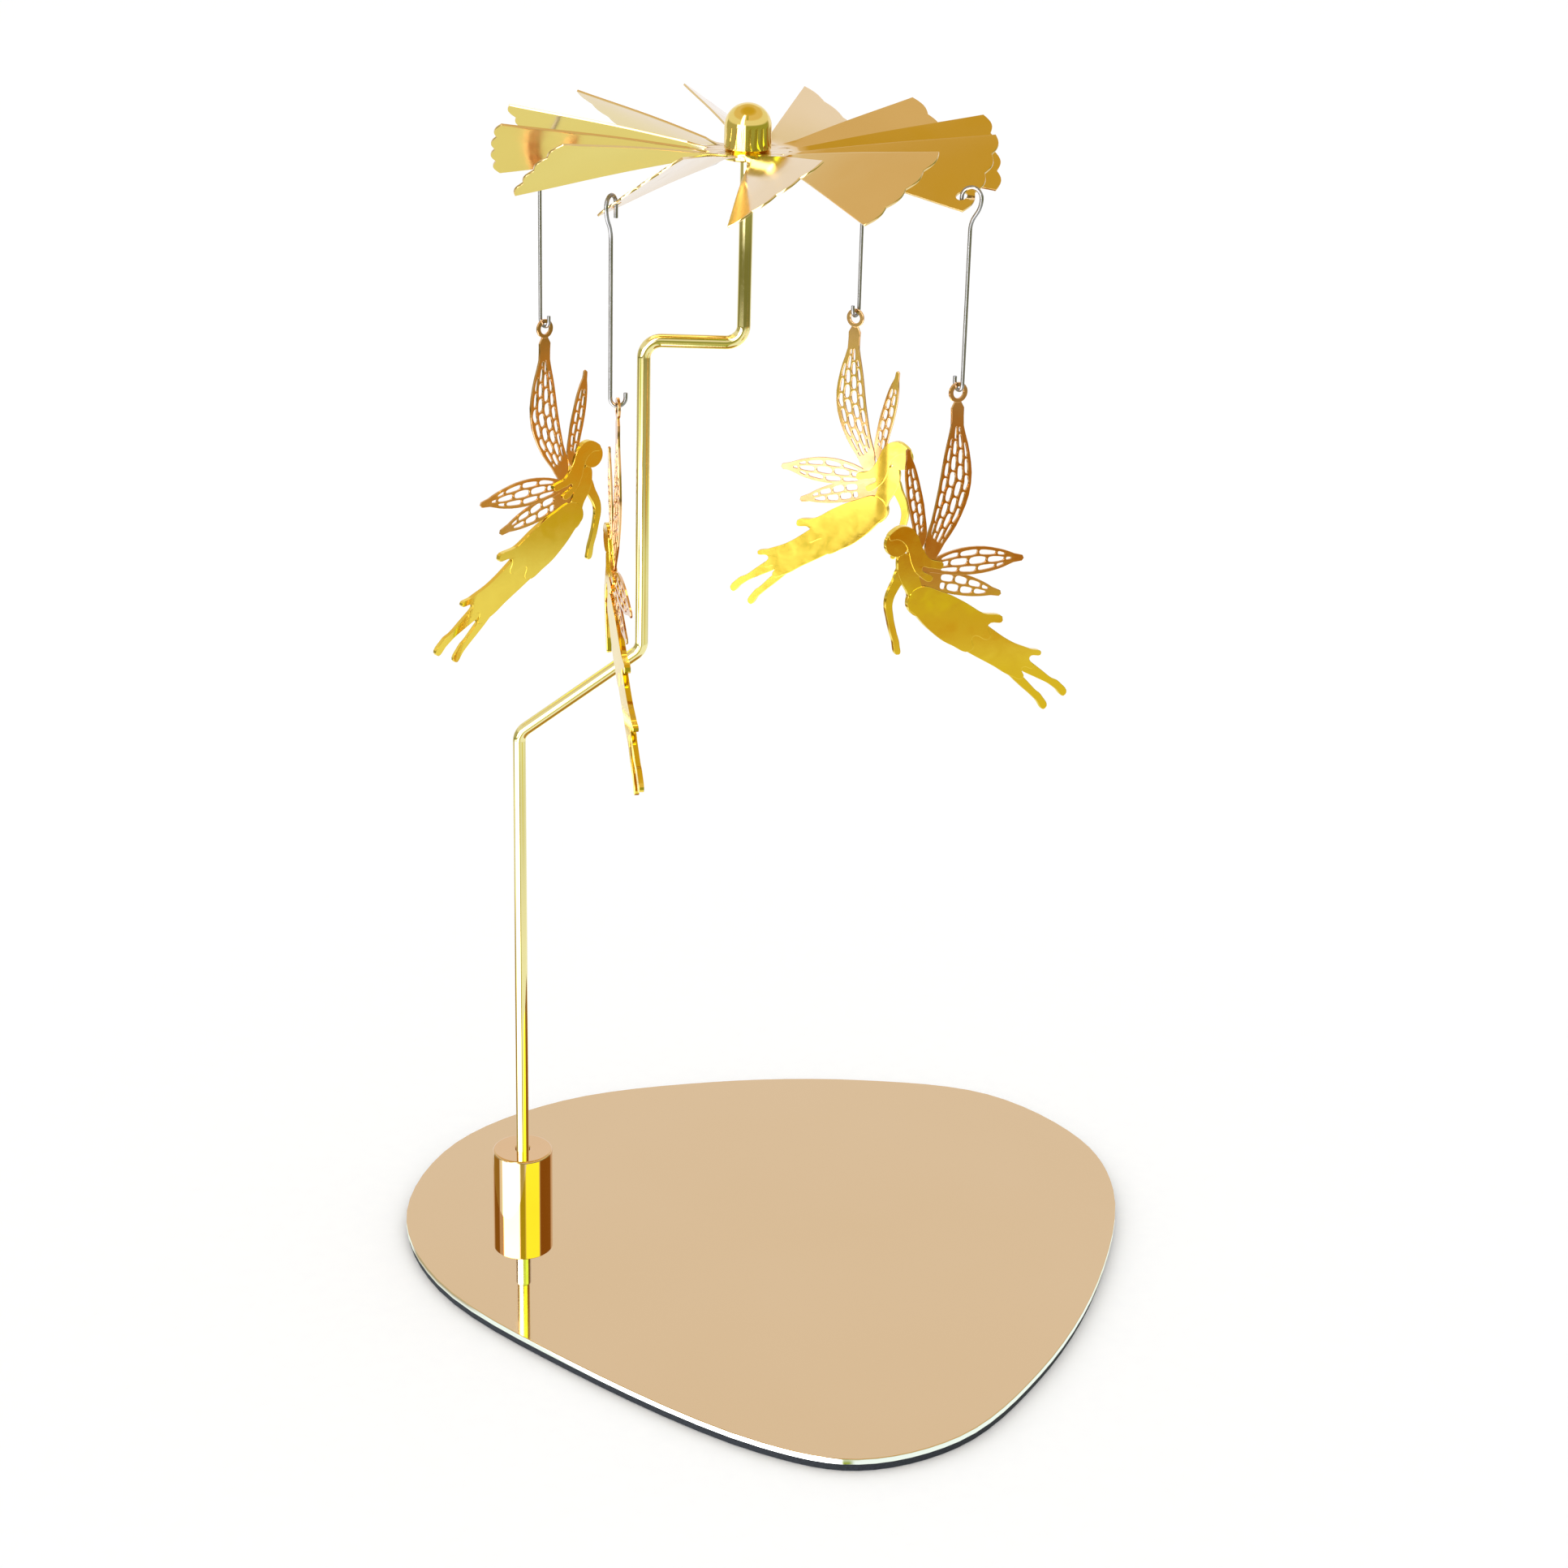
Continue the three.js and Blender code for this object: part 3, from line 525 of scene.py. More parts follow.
bpy.ops.object.select_all(action="DESELECT")
bpy.ops.mesh.primitive_circle_add(
    vertices=SECTOR_STEPS * BLADES, radius=HUB_HOLE, rotation=(0, 0, -math.pi / 2),
)
wheel = bpy.context.object
wheel.name = wheel.data.name = "fan_wheel_sheet"
bpy.ops.object.transform_apply(location=True, rotation=True, scale=True)
start_edit(wheel)
bpy.ops.mesh.extrude_region_move()
growth = HUB_RADIUS / HUB_HOLE
bpy.ops.transform.resize(value=(growth, growth, 1), center_override=(0, 0, 0))
half_step = math.tau / BLADES / SECTOR_STEPS / 2
sector_edge = math.pi / BLADES + half_step
select_points(wheel, lambda co: abs(math.atan2(co.y, co.x)) > sector_edge)
bpy.ops.mesh.delete(type="VERT")
hub_middle = (HUB_HOLE + HUB_RADIUS) / 2
neck_edge = NECK_HALF_ANGLE + half_step
select_points(wheel, lambda co: co.length > hub_middle and abs(math.atan2(co.y, co.x)) < neck_edge)
for i in range(1, NECK_ROWS + 1):
    add_blade_row(wheel, lambda share, i=i: HUB_RADIUS + NECK_LENGTH * i / NECK_ROWS, NECK_HALF_WIDTH)
blade_root = HUB_RADIUS + NECK_LENGTH
for i in range(1, BLADE_ROWS + 1):
    gone = i / BLADE_ROWS
    width = NECK_HALF_WIDTH + (BLADE_HALF_WIDTH - NECK_HALF_WIDTH) * gone
    add_blade_row(
        wheel, lambda share, gone=gone: blade_root + (scalloped_rim(share) - blade_root) * gone, width,
    )
mesh = bmesh.from_edit_mesh(wheel.data)
for vertex in mesh.verts:
    gone = min(max((vertex.co.x - HUB_RADIUS) / NECK_LENGTH, 0), 1)
    reach = min(max((vertex.co.x - blade_root) / (BLADE_TIP - blade_root), 0), 1)
    vertex.co.z += BLADE_BOW * math.sin(math.pi * reach) * (1 - (vertex.co.y / BLADE_HALF_WIDTH) ** 2)
    vertex.co = Matrix.Rotation(BLADE_TWIST * gone, 3, "X") @ vertex.co
bmesh.update_edit_mesh(wheel.data)
bpy.ops.mesh.select_all(action="SELECT")
bpy.ops.mesh.spin(
    steps=BLADES - 1, angle=math.tau * (BLADES - 1) / BLADES, dupli=True, center=(0, 0, 0), axis=(0, 0, 1),
)
bpy.ops.mesh.select_all(action="SELECT")
bpy.ops.mesh.remove_doubles(threshold=WELD)
bpy.ops.mesh.normals_make_consistent(inside=False)
end_edit()
wheel.data.transform(Matrix.Translation(wheel_middle) @ Matrix.Rotation(BLADE_PHASE, 4, "Z"))
apply_modifier(wheel, "SOLIDIFY", thickness=SHEET, offset=0, use_even_offset=True)
ease_edges(wheel, SHEET_EASE, steps=2)
for place, blade in HOOK_BLADES.items():
    bpy.ops.object.select_all(action="DESELECT")
    bpy.ops.mesh.primitive_cylinder_add(
        vertices=HOOK_HOLE_SIDES, radius=HOOK_HOLE_RADIUS, depth=DRILL_DEPTH,
    )
    drill = bpy.context.object
    drill.data.transform(
        Matrix.Translation(wheel_middle)
        @ Matrix.Rotation(blade_angle(blade), 4, "Z")
        @ Matrix.Translation((HOOK_HOLE_OUT, 0, 0))
        @ Matrix.Rotation(BLADE_TWIST, 4, "X")
        @ Matrix.Translation((0, HOOK_HOLE_ACROSS, 0))
    )
    apply_modifier(wheel, "BOOLEAN", object=drill, operation="DIFFERENCE", solver="EXACT")
    bpy.data.objects.remove(drill)
smooth(wheel)
sheet_gold = plated_metal(
    "sheet gold", SHEET_GOLD, SHEET_GOLD_DEEP, patch_scale=45, gloss=(0.08, 0.17),
    line_scale=(700, 700, 700), line_strength=0.12,
)
put_in_place(wheel, "fan_wheel", "wheel", sheet_gold)

# Dome cap. A round-topped thimble of plated brass that seats on the wheel, with its spigot down
# through the hub and a bore inside for the rod's point and the bearing slug.
CAP_RADIUS = 4.2 * MM
CAP_HEIGHT = 8.2 * MM
CAP_BORE = 2.3 * MM
CAP_BORE_TOP = 5.6 * MM
CAP_RIM = 0.3 * MM
SPIGOT_RADIUS = 3.1 * MM
DOME_STEPS = 24
CAP_GOLD = (0.89, 0.71, 0.25)
CAP_GOLD_DEEP = (0.84, 0.64, 0.2)

cap_low, cap_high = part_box("dome_cap")
seat = cap_high.z - CAP_HEIGHT
dome_start = cap_high.z - CAP_RADIUS
dome_turns = [math.pi / 2 * i / DOME_STEPS for i in range(DOME_STEPS)]
dome_profile = [
    (CAP_RADIUS * math.cos(turn), dome_start + CAP_RADIUS * math.sin(turn)) for turn in dome_turns
]
cap = turned("dome_cap_shell", wheel_middle, [
    (0, seat + CAP_BORE_TOP),
    (CAP_BORE, seat + CAP_BORE_TOP),
    (CAP_BORE, cap_low.z),
    (SPIGOT_RADIUS, cap_low.z),
    (SPIGOT_RADIUS, seat),
    (CAP_RADIUS - CAP_RIM, seat),
    (CAP_RADIUS, seat + CAP_RIM),
    *dome_profile,
    (0, cap_high.z),
])
cap_gold = plated_metal(
    "cap gold", CAP_GOLD, CAP_GOLD_DEEP, patch_scale=90, gloss=(0.03, 0.08),
    line_scale=(1500, 1500, 6000), line_strength=0.05,
)
put_in_place(cap, "dome_cap", "wheel", cap_gold)

# Pivot cup. A hard steel bearing slug at the top of the cap's bore, dimpled for the rod's point and
# hidden in use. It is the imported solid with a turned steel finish.
give_finish(frame["nodes"]["pivot_cup"], plain_steel)

# Hub collar. A plated ring pressed on the cap's spigot below the wheel, which clamps the sheet
# between itself and the cap. Its rims are eased.
COLLAR_BORE = 3.4 * MM
COLLAR_RIM = 0.25 * MM

collar_low, collar_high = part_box("hub_collar")
collar_radius = (collar_high.x - collar_low.x) / 2
collar = turned("hub_collar_ring", wheel_middle, [
    (COLLAR_BORE, collar_low.z),
    (collar_radius - COLLAR_RIM, collar_low.z),
    (collar_radius, collar_low.z + COLLAR_RIM),
    *rounded_rim(collar_radius, collar_high.z, COLLAR_RIM),
    (COLLAR_BORE, collar_high.z),
    (COLLAR_BORE, collar_low.z),
])
put_in_place(collar, "hub_collar", "wheel", cap_gold)

# Hooks. Four lengths of drawn steel wire, bent over a blade's rim and up through its hole at one
# end, and into a small open loop for the pendant's ring at the other.
WIRE_RADIUS = 0.35 * MM
WIRE_SIDES = 16
HOOK_TAIL = 2.2 * MM
HOOK_TOP_RADIUS = 1.8 * MM
HOOK_NECK_DROP = 5.5 * MM
HOOK_NECK_TURN = 2 * math.atan2(HOOK_TOP_RADIUS, HOOK_NECK_DROP)
HOOK_NECK_RADIUS = HOOK_NECK_DROP / 2 / math.sin(HOOK_NECK_TURN)
HOOK_NECK_STEPS = 6
LOOP_RADIUS = 1.3 * MM
LOOP_TAIL = 0.9 * MM
LOOP_REST = 0.4 * MM
HOLE_DROP = HOOK_HOLE_ACROSS * math.sin(BLADE_TWIST)
HOLE_SIDE = HOOK_HOLE_ACROSS * math.cos(BLADE_TWIST)
FACING = {"back_right": 332, "back_left": 42, "front_left": 102, "front_right": 208}
WIRE_STEEL = (0.36, 0.355, 0.37)
WIRE_STEEL_DEEP = (0.22, 0.215, 0.23)

wire_steel = plated_metal(
    "wire steel", WIRE_STEEL, WIRE_STEEL_DEEP, patch_scale=150, gloss=(0.24, 0.36),
    line_scale=(6000, 6000, 300), line_strength=0.08,
)
up = Vector((0, 0, 1))
rings = {}
for place, blade in HOOK_BLADES.items():
    outward = Vector((math.cos(blade_angle(blade)), math.sin(blade_angle(blade)), 0))
    sideways = up.cross(outward)
    facing = math.radians(FACING[place])
    across = Vector((math.sin(facing), -math.cos(facing), 0))
    ring = next(joint for joint in frame["joints"] if joint["name"] == f"twist_{place}")
    rings[place] = Vector(ring["pos_m"])
    hole = wheel_middle + outward * HOOK_HOLE_OUT + sideways * HOLE_SIDE + up * HOLE_DROP
    hook = start_wire(f"hook_{place}_wire", hole - up * HOOK_TAIL, WIRE_RADIUS, WIRE_SIDES)
    lengthen(up * HOOK_TAIL)
    end = bend_about(hole, hole + outward * HOOK_TOP_RADIUS, sideways, math.pi)
    end = bend_about(end, end - outward * HOOK_NECK_RADIUS, sideways, HOOK_NECK_TURN, HOOK_NECK_STEPS)
    lean = Matrix.Rotation(HOOK_NECK_TURN, 3, sideways) @ outward
    end = bend_about(end, end + lean * HOOK_NECK_RADIUS, -sideways, HOOK_NECK_TURN, HOOK_NECK_STEPS)
    loop_start = Vector((end.x, end.y, rings[place].z + LOOP_REST + LOOP_RADIUS))
    lengthen(loop_start - end)
    bend_about(loop_start, loop_start + across * LOOP_RADIUS, across.cross(up), math.pi)
    lengthen(up * LOOP_TAIL)
    finish_wire(hook)
    put_in_place(hook, f"hook_{place}", f"hanger_{place}", wire_steel)

# Fairy pendants. Thin gold plated sheet, cut and etched through: wings of lace and a plain figure a
# little thicker than they are, hung by a ring at the tip of the tall wing. The lace keeps a copper
# tone.
WING_SHEET = 0.5 * MM
FIGURE_SHEET = 0.9 * MM
HAIR_SHEET = 1.2 * MM
SKIRT_SHEET = 1.1 * MM
SKIRT_STEP = 0.1 * MM
LAYER_STEP = 0.03 * MM
CUT_EASE = 0.06 * MM
CUT_SHARP = math.radians(18)
RING_HOLE = 1.05 * MM
RING_WALL = 0.75 * MM
OUTLINE_STEPS = 6
LACE_STEPS = 3
BEND_GRID = 1.6 * MM
# From here to the bows, sizes are in millimetres from the ring's middle, as on the maker's drawing.
LACE_RIM = 0.5
LACE_VEIN = 0.36
LEAST_CELL = 0.3
CELL_POINTS = 12
CELL_SQUARENESS = 0.65
TRIMS_PER_ROW = 20
ROUND_POINTS = 12
# Each wing has two sides, from its root to its tip, then the shares of its length between which it
# is cut to lace, and how many columns and rows of cells the lace has.
WINGS = {
    "tall": (
        [(5.4, -28), (4.2, -23), (3, -17), (2.1, -11), (1.1, -6), (0.55, -1.5)],
        [(4.2, -30.2), (1.4, -27.3), (-1.8, -22.5), (-3.5, -16.8), (-2.9, -11), (-1.4, -6), (-0.55, -1.5)],
        (0.1, 0.9), 4, 8,
    ),
    "far": (
        [(6.8, -28), (8, -23.5), (9.4, -18), (9.95, -13.8), (9.9, -11.2), (9.6, -9.2)],
        [(5.4, -26.5), (5.6, -21.5), (6.9, -16), (8.1, -12.4), (9, -10.6), (9.6, -9.2)],
        (0.12, 0.86), 2, 6,
    ),
    "middle": (
        [
            (6.2, -31.2), (3.2, -29.8), (-0.5, -28.8), (-5.5, -28.6), (-10, -29.5), (-13.4, -30.8),
            (-15.4, -31.9),
        ],
        [
            (6.2, -31.2), (3, -32.6), (-0.5, -33.3), (-5, -33.8), (-10, -33.4), (-13.2, -32.5),
            (-15.4, -31.9),
        ],
        (0.2, 0.9), 3, 4,
    ),
    "low": (
        [(6.4, -32.8), (2, -32.4), (-2, -33.2), (-6.2, -34.9), (-9, -36.6), (-11, -38.2)],
        [(6.2, -34.6), (2.5, -36), (-2.5, -37.5), (-6.3, -38.1), (-8.8, -38.2), (-11, -38.2)],
        (0.24, 0.9), 2, 4,
    ),
}
UPPER_FIGURE = {
    "bodice": [
        (10.3, -28.2), (10.9, -31), (10.3, -33), (8.6, -36), (8.4, -38.6), (6.2, -40.2), (4.6, -38.6),
        (5.4, -36), (6.4, -33), (7.4, -30.2), (8.9, -28.4),
    ],
    "arm": [
        (9.9, -30.4), (11.8, -33.2), (13.1, -36.6), (12.5, -40.4), (11.4, -44), (10, -47), (9.9, -45.2),
        (10.7, -42.4), (11.4, -39.6), (11.6, -36.9), (10.4, -34.4), (8.9, -32.4),
    ],
    "hair": [
        (12.9, -25.2), (11.6, -23.5), (9.4, -23.2), (7.4, -24.7), (6.2, -27.2), (4.6, -29.6), (1.6, -31.4),
        (4.4, -31.4), (6, -31.2), (3.8, -33.6), (6.8, -32.4), (8.2, -30.2), (8.9, -28), (9.7, -26.4),
        (11.2, -25.4),
    ],
}
HEAD_CENTRE = (11.1, -26.2)
HEAD_RADIUS = 2.4
# What trails from the waist, each point as its distance along the gown and above the gown's line,
# which falls at an angle in degrees.
WAIST = (6.8, -37)
GOWN_FALL = 34
LOWER_FIGURE = {
    "overskirt": [
        (-1.2, 1.7), (4, 3.6), (9, 4.2), (14, 4.3), (18.6, 5.1), (16.4, 3), (18.2, 1), (14.8, -0.4),
        (16.2, -2.3), (11.6, -3.7), (6, -3.5), (2, -2.6), (-1.2, -1.6),
    ],
    "gown": [
        (2, 2.2), (6, 3.1), (11, 3.3), (17, 2.8), (23, 2.7), (27.4, 3.4), (30, 3.7), (28.2, 2), (30.2, 0.8),
        (28, -0.4), (29.4, -1.8), (27, -2.7), (22, -2.9), (16, -3.2), (11, -3.3), (6, -3), (2, -2.1),
    ],
    "near_leg": [
        (24, 1.7), (28, 1.5), (32, 1.2), (35, 0.95), (36.8, 1.1), (39.8, -0.4), (37, -0.4), (35, -0.3),
        (32, -0.55), (28, -0.95), (24, -1.1),
    ],
    "far_leg": [
        (24, -0.5), (27.5, -1.3), (30.6, -1.9), (33.4, -2.5), (35, -2.7), (37.6, -4.5), (34.8, -4.1),
        (33, -3.8), (30, -3.4), (27, -2.9), (24, -2.2),
    ],
}
# How far each pendant's sheet is bowed out of flat, across and down it, in millimetres.
BOWS = {
    "back_right": (0.5, -0.4), "back_left": (-0.5, 0.4),
    "front_left": (0.5, 0.4), "front_right": (-0.5, -0.4),
}
BOW_REACH = (-30 * MM, -66 * MM)
PENDANT_GOLD = (0.90, 0.68, 0.13)
PENDANT_GOLD_DEEP = (0.84, 0.59, 0.09)
LACE_COPPER = (0.74, 0.44, 0.22)


def along_side(side, share):
    """The point at a share of the way along a wing's side."""
    lengths = [math.dist(a, b) for a, b in zip(side, side[1:])]
    left = share * sum(lengths)
    for a, b, length in zip(side, side[1:], lengths):
        if left <= length:
            return Vector(a).lerp(Vector(b), left / length)
        left -= length
    return Vector(side[-1])


def squared(value):
    """A sine or cosine made fuller, so that the round that it draws comes nearer to a square."""
    return math.copysign(abs(value) ** CELL_SQUARENESS, value)


def lace_cells(first, second, stretch, columns, rows):
    """Outlines of the cells cut through a wing, in columns that are staggered like brickwork."""
    def place(along, across):
        return along_side(first, along).lerp(along_side(second, along), across)

    def width(along):
        return (place(along, 0) - place(along, 1)).length

    length = (place(0, 0.5) - place(1, 0.5)).length
    step = (stretch[1] - stretch[0]) / rows
    cells = []
    for column in range(columns):
        inner = LACE_RIM if column == 0 else LACE_VEIN / 2
        outer = LACE_RIM if column == columns - 1 else LACE_VEIN / 2
        least_width = columns * (inner + outer + LEAST_CELL)
        shift = step / 2 * (column % 2)
        for row in range(rows + 1):
            start = max(stretch[0], stretch[0] + step * row - shift) + LACE_VEIN / 2 / length
            stop = min(stretch[1], stretch[0] + step * (row + 1) - shift) - LACE_VEIN / 2 / length
            while start < stop and width(stop) < least_width:
                stop -= step / TRIMS_PER_ROW
            while start < stop and width(start) < least_width:
                start += step / TRIMS_PER_ROW
            if (stop - start) * length < LEAST_CELL:
                continue
            cell = []
            for i in range(CELL_POINTS):
                turn = math.tau * i / CELL_POINTS
                along = (start + stop + (stop - start) * squared(math.cos(turn))) / 2
                low = column / columns + inner / width(along)
                high = (column + 1) / columns - outer / width(along)
                cell.append(place(along, (low + high + (high - low) * squared(math.sin(turn))) / 2))
            cells.append(cell)
    return cells


def circle_points(centre, radius):
    turns = [math.tau * i / ROUND_POINTS for i in range(ROUND_POINTS)]
    return [(centre[0] + radius * math.cos(turn), centre[1] + radius * math.sin(turn)) for turn in turns]


def trailing_from_waist(outline):
    backward = Matrix.Rotation(math.radians(GOWN_FALL), 2) @ Vector((-1, 0))
    upward = Vector((backward.y, -backward.x))
    return [Vector(WAIST) + backward * along + upward * above for along, above in outline]


def cut_sheet(name, outlines, thickness, steps=OUTLINE_STEPS):
    """A sheet cut to smooth outlines, the first its edge and the rest its openings."""
    drawing = bpy.data.curves.new(name, "CURVE")
    drawing.dimensions = "2D"
    drawing.fill_mode = "BOTH"
    drawing.resolution_u = steps
    drawing.extrude = thickness / 2 - CUT_EASE
    drawing.bevel_depth = CUT_EASE
    drawing.bevel_resolution = 1
    drawing.offset = -CUT_EASE
    for outline in outlines:
        spline = drawing.splines.new("BEZIER")
        spline.bezier_points.add(len(outline) - 1)
        spline.use_cyclic_u = True
        for knot, (x, y) in zip(spline.bezier_points, outline):
            knot.co = (x * MM, y * MM, 0)
            knot.handle_left_type = knot.handle_right_type = "AUTO"
    piece = bpy.data.objects.new(name, drawing)
    bpy.context.scene.collection.objects.link(piece)
    work_on(piece)
    bpy.ops.object.convert(target="MESH")
    piece = bpy.context.object
    start_edit(piece)
    bpy.ops.mesh.remove_doubles(threshold=WELD)
    bpy.ops.mesh.normals_make_consistent(inside=False)
    end_edit()
    return piece


def fuse(piece, other):
    apply_modifier(piece, "BOOLEAN", object=other, operation="UNION", solver="EXACT")
    bpy.data.objects.remove(other)


def cut_across(piece, axis, start, stop):
    """Cuts a piece's faces on a row of planes, so that it can be bowed."""
    for i in range(round((stop - start) / BEND_GRID) + 1):
        plane = [0, 0, 0]
        plane[axis] = start + i * BEND_GRID
        direction = [0, 0, 0]
        direction[axis] = 1
        bpy.ops.mesh.select_all(action="SELECT")
        bpy.ops.mesh.bisect(plane_co=plane, plane_no=direction)


ring_edges = [circle_points((0, 0), radius / MM) for radius in (RING_HOLE + RING_WALL, RING_HOLE)]
fairy = cut_sheet("fairy", ring_edges, WING_SHEET)
thickness = WING_SHEET
for wing, (first, second, stretch, columns, rows) in WINGS.items():
    edge = first + [point for point in reversed(second) if point not in first]
    thickness -= LAYER_STEP
    lace = lace_cells(first, second, stretch, columns, rows)
    fuse(fairy, cut_sheet(wing, [edge, *lace], thickness, LACE_STEPS))
thickness = FIGURE_SHEET
for limb, outline in UPPER_FIGURE.items():
    thickness -= LAYER_STEP
    fuse(fairy, cut_sheet(limb, [outline], HAIR_SHEET if limb == "hair" else thickness))
fuse(fairy, cut_sheet("head", [circle_points(HEAD_CENTRE, HEAD_RADIUS)], FIGURE_SHEET))
thickness = SKIRT_SHEET
for limb, outline in LOWER_FIGURE.items():
    fuse(fairy, cut_sheet(limb, [trailing_from_waist(outline)], thickness))
    thickness -= SKIRT_STEP
start_edit(fairy)
cut_across(fairy, 0, BOW_REACH[0], -BOW_REACH[0])
cut_across(fairy, 1, BOW_REACH[1], 0)
end_edit()
lace = fairy.data.attributes.new("lace", "FLOAT", "POINT")
for vertex, mask in zip(fairy.data.vertices, lace.data):
    mask.value = abs(vertex.co.z) < WING_SHEET / 2 + LAYER_STEP
pendant_gold = plated_metal(
    "pendant gold", PENDANT_GOLD, PENDANT_GOLD_DEEP, patch_scale=130, gloss=(0.05, 0.11),
    line_scale=(900, 900, 900), line_strength=0.04,
)
lace_mask = pendant_gold.node_tree.nodes.new("ShaderNodeAttribute")
lace_mask.attribute_name = "lace"
retint(pendant_gold, lace_mask.outputs["Fac"], LACE_COPPER)
for place, (bow_across, bow_down) in BOWS.items():
    pendant = bpy.data.objects.new(f"fairy_{place}_cut", fairy.data.copy())
    bpy.context.scene.collection.objects.link(pendant)
    for vertex in pendant.data.vertices:
        x, y = vertex.co.x / BOW_REACH[0], vertex.co.y / BOW_REACH[1]
        vertex.co.z += MM * (bow_across * x * abs(x) + bow_down * y * y * math.sin(math.pi * y))
    pendant.data.transform(
        Matrix.Translation(rings[place])
        @ Matrix.Rotation(math.radians(FACING[place]), 4, "Z")
        @ Matrix.Rotation(math.pi / 2, 4, "X")
    )
    smooth(pendant, CUT_SHARP)
    put_in_place(pendant, f"fairy_{place}", f"pendant_{place}", pendant_gold)
bpy.data.objects.remove(fairy)

# Floor. A plain pale sheet under the holder, large enough to fill the picture, kept out of the
# metal's reflections so that these show the studio instead.
FLOOR_SIZE = 12
FLOOR_WHITE = (0.93, 0.93, 0.92)
FLOOR_SHADE = (0.9, 0.9, 0.9)
PAPER_GRAINS_PER_METRE = 300
PAPER_ROUGHNESS = 0.9

bpy.ops.object.select_all(action="DESELECT")
bpy.ops.mesh.primitive_plane_add(size=FLOOR_SIZE)
floor = bpy.context.object
floor.name = "floor"
floor.visible_glossy = False
paper = bpy.data.materials.new("floor paper")
paper.use_nodes = True
paper_nodes, paper_links = paper.node_tree.nodes, paper.node_tree.links
paper_place = paper_nodes.new("ShaderNodeTexCoord")
paper_grain = paper_nodes.new("ShaderNodeTexNoise")
paper_grain.inputs["Scale"].default_value = PAPER_GRAINS_PER_METRE
paper_tint = paper_nodes.new("ShaderNodeMix")
paper_tint.data_type = "RGBA"
paper_tint.inputs["A"].default_value = (*FLOOR_WHITE, 1)
paper_tint.inputs["B"].default_value = (*FLOOR_SHADE, 1)
paper_links.new(paper_place.outputs["Object"], paper_grain.inputs["Vector"])
paper_links.new(paper_grain.outputs["Fac"], paper_tint.inputs["Factor"])
paper_links.new(paper_tint.outputs["Result"], paper_nodes["Principled BSDF"].inputs["Base Color"])
paper_nodes["Principled BSDF"].inputs["Roughness"].default_value = PAPER_ROUGHNESS
floor.data.materials.append(paper)

# Studio. Even white light all round. What the metal mirrors is a white backdrop under a warm ceiling
# and, in front, a room with windows, pale tables and walls in tan, olive, amber and brown.
DAYLIGHT = 1.12
# Light of the backdrop by height, in degrees above the horizon.
BACKDROP = [
    (-90, (0.95, 1.02, 0.5)), (-38, (0.95, 1.02, 0.5)), (-26, (0.98, 1.0, 1.05)), (36, (1.0, 0.98, 1.0)),
    (40, (0.82, 0.66, 0.37)), (52, (0.8, 0.63, 0.3)), (72, (0.68, 0.48, 0.06)), (90, (0.64, 0.46, 0.06)),
]
# What stands in the room: bearings from the front, right positive, and heights, both in degrees, and
# its light. Each covers those before it.
ROOM = [
    ("far walls", (-125, 125), (-30, 15), (0.5, 0.48, 0.28)),
    ("olive wall on the right", (-8, 115), (-10, 18), (0.36, 0.4, 0.1)),
    ("dark room", (-112, 112), (-13.2, -9.6), (0.22, 0.22, 0.08)),
    ("lamp foot", (-52, -12), (-9.1, -8), (6, 6, 6)),
    ("lamp stem", (-52, -12), (-8.2, -5), (6, 6, 6)),
    ("lamp", (-52, -12), (-5, 20), (6, 6, 6)),
    ("near table", (-150, 150), (-90, -22), (1.05, 1.1, 1.0)),
    ("olive cloth", (-8, 6), (-90, -33), (0.38, 0.43, 0.05)),
    ("bright table", (-80, -6), (-90, -15), (5, 5, 5)),
    ("pale table", (12, 115), (-22, -16.5), (0.95, 1.0, 0.8)),
    ("table edge", (-5, 13), (-31.5, -17), (0.54, 0.5, 0.08)),
    ("brown chair", (-145, -97), (-31.5, -24), (0.4, 0.24, 0.04)),
    ("amber wall", (72, 87), (-15.6, -13), (0.66, 0.37, 0.06)),
    ("amber rail", (72, 87), (-16.5, -15.6), (0.62, 0.52, 0.08)),
    ("orange wall", (52, 67), (-16.9, -14), (0.49, 0.225, 0.01)),
    ("yellow rail", (52, 67), (-17.7, -16.9), (0.72, 0.7, 0.08)),
    ("orange rail", (52, 67), (-18.6, -17.7), (0.62, 0.37, 0.04)),
    ("yellow table", (52, 67), (-23, -18.6), (0.78, 0.72, 0.15)),
    ("olive wall on the left", (-70, -40), (-15.2, -12.8), (0.69, 0.77, 0.2)),
    ("low lamp", (-70, -40), (-16.4, -15.2), (3.2, 3.2, 3.2)),
    ("olive table", (-70, -40), (-18.8, -16.4), (0.62, 0.58, 0.1)),
    ("window", (-76, -8), (20, 42), (12, 12, 12)),
    ("olive blind", (-6, 15), (20, 42), (0.8, 1.0, 0.05)),
    ("yellow blind", (16, 73), (20, 42), (2.2, 3.4, 0.3)),
    ("brown curtain on the right", (76, 142), (18, 44), (0.45, 0.24, 0.04)),
    ("brown curtain on the left", (-142, -100), (18, 44), (0.45, 0.27, 0.05)),
]
# What covers the room where a metal shows it straight to the eye and not by way of the base plate.
SEEN_AT_ONCE = [
    ("tan walls", (-155, 155), (30, 60), (0.82, 0.66, 0.37)),
    ("olive screen", (-6, 2), (38, 62), (0.38, 0.43, 0.05)),
    ("high walls", (-155, 155), (12, 36), (0.9, 0.88, 0.74)),
    ("lamp shade", (-36, -20), (8, 60), (6, 6, 6)),
]
MOST_BOUNCES = 1.5
WIDEST_BLUR = 4
BLUR_SHARE = 0.25

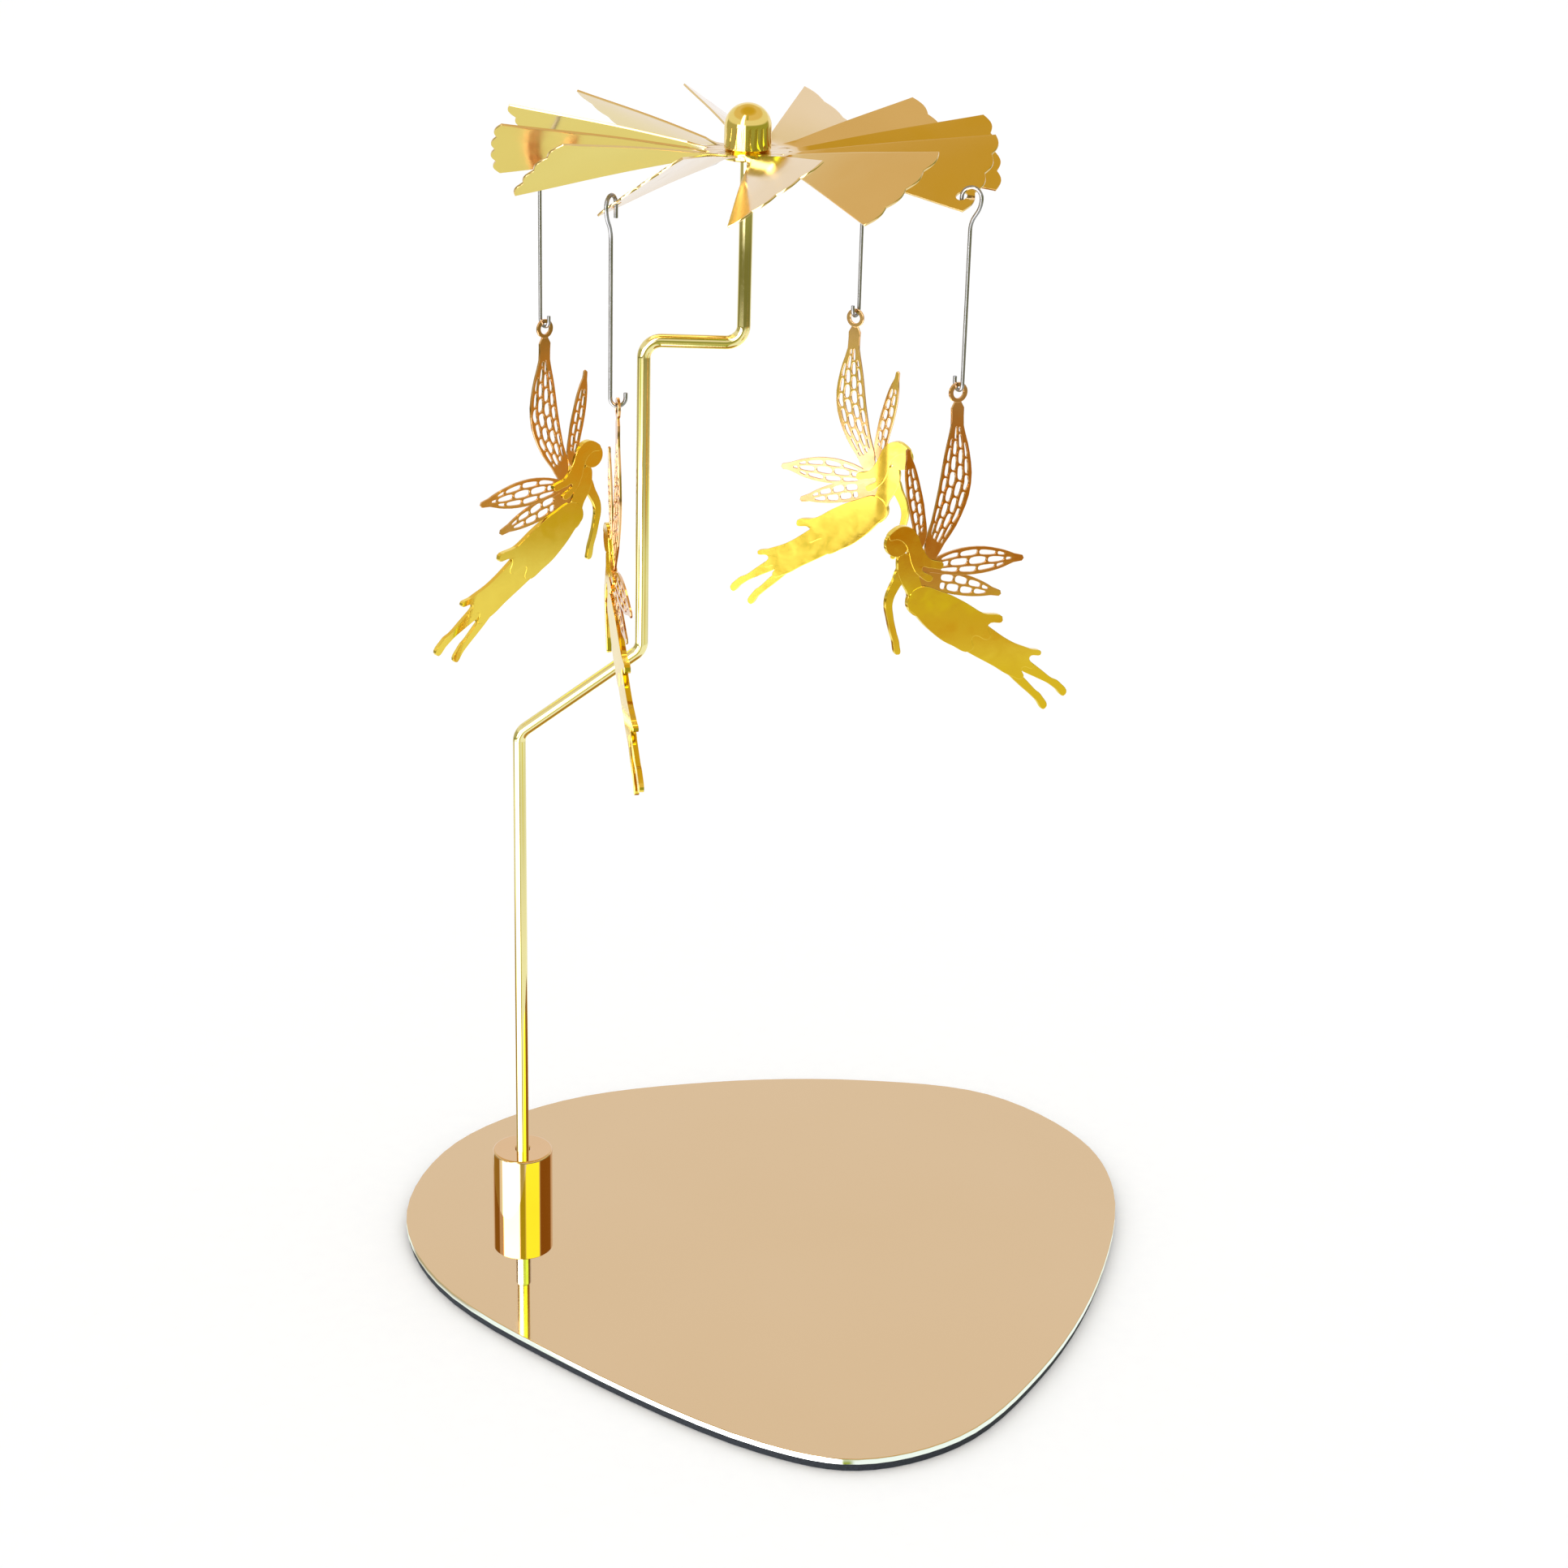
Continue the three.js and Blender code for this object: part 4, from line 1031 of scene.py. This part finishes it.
bpy.context.scene.view_settings.view_transform = "Standard"
world = bpy.data.worlds.new("studio")
bpy.context.scene.world = world
world.use_nodes = True
nodes, links = world.node_tree.nodes, world.node_tree.links


def calculate(operation, *terms):
    """A value worked out from numbers and other nodes' values."""
    sum_node = nodes.new("ShaderNodeMath")
    sum_node.operation = operation
    for socket, term in zip(sum_node.inputs, terms):
        if isinstance(term, (int, float)):
            socket.default_value = term
        else:
            links.new(term, socket)
    return sum_node.outputs[0]


def within(value, low, high):
    """One between two bounds and nothing outside them, with soft edges."""
    blur = min(WIDEST_BLUR, BLUR_SHARE * (high - low))
    edges = []
    for start, stop in ((low - blur, low + blur), (high + blur, high - blur)):
        edge = nodes.new("ShaderNodeMapRange")
        edge.interpolation_type = "SMOOTHSTEP"
        edge.inputs["From Min"].default_value = start
        edge.inputs["From Max"].default_value = stop
        links.new(value, edge.inputs["Value"])
        edges.append(edge.outputs["Result"])
    return calculate("MULTIPLY", *edges)


look = nodes.new("ShaderNodeTexCoord")
parts = nodes.new("ShaderNodeSeparateXYZ")
links.new(look.outputs["Generated"], parts.inputs["Vector"])
to_front = calculate("MULTIPLY", parts.outputs["Y"], -1)
bearing = calculate("DEGREES", calculate("ARCTAN2", parts.outputs["X"], to_front))
height = calculate("DEGREES", calculate("ARCSINE", parts.outputs["Z"]))
backdrop = nodes.new("ShaderNodeValToRGB")
stops = backdrop.color_ramp.elements
while len(stops) < len(BACKDROP):
    stops.new(0.5)
for stop, (degrees, light) in zip(stops, BACKDROP):
    stop.position = (degrees + 90) / 180
    stop.color = (*light, 1)
links.new(calculate("DIVIDE", calculate("ADD", height, 90), 180), backdrop.inputs["Fac"])
studio = backdrop.outputs["Color"]
path = nodes.new("ShaderNodeLightPath")
at_once = calculate("LESS_THAN", path.outputs["Glossy Depth"], MOST_BOUNCES)
for things, share in ((ROOM, 1), (SEEN_AT_ONCE, at_once)):
    for thing, bearings, heights, light in things:
        cover = nodes.new("ShaderNodeMix")
        cover.data_type = "RGBA"
        cover.label = thing
        cover.inputs["B"].default_value = (*light, 1)
        extent = calculate("MULTIPLY", within(bearing, *bearings), within(height, *heights))
        links.new(calculate("MULTIPLY", extent, share), cover.inputs["Factor"])
        links.new(studio, cover.inputs["A"])
        studio = cover.outputs["Result"]
seen_in_metal = nodes.new("ShaderNodeBackground")
links.new(studio, seen_in_metal.inputs["Color"])
even_light = nodes["Background"]
even_light.inputs["Color"].default_value = (1, 1, 1, 1)
even_light.inputs["Strength"].default_value = DAYLIGHT
choice = nodes.new("ShaderNodeMixShader")
links.new(path.outputs["Is Glossy Ray"], choice.inputs["Fac"])
links.new(even_light.outputs["Background"], choice.inputs[1])
links.new(seen_in_metal.outputs["Background"], choice.inputs[2])
links.new(choice.outputs["Shader"], nodes["World Output"].inputs["Surface"])
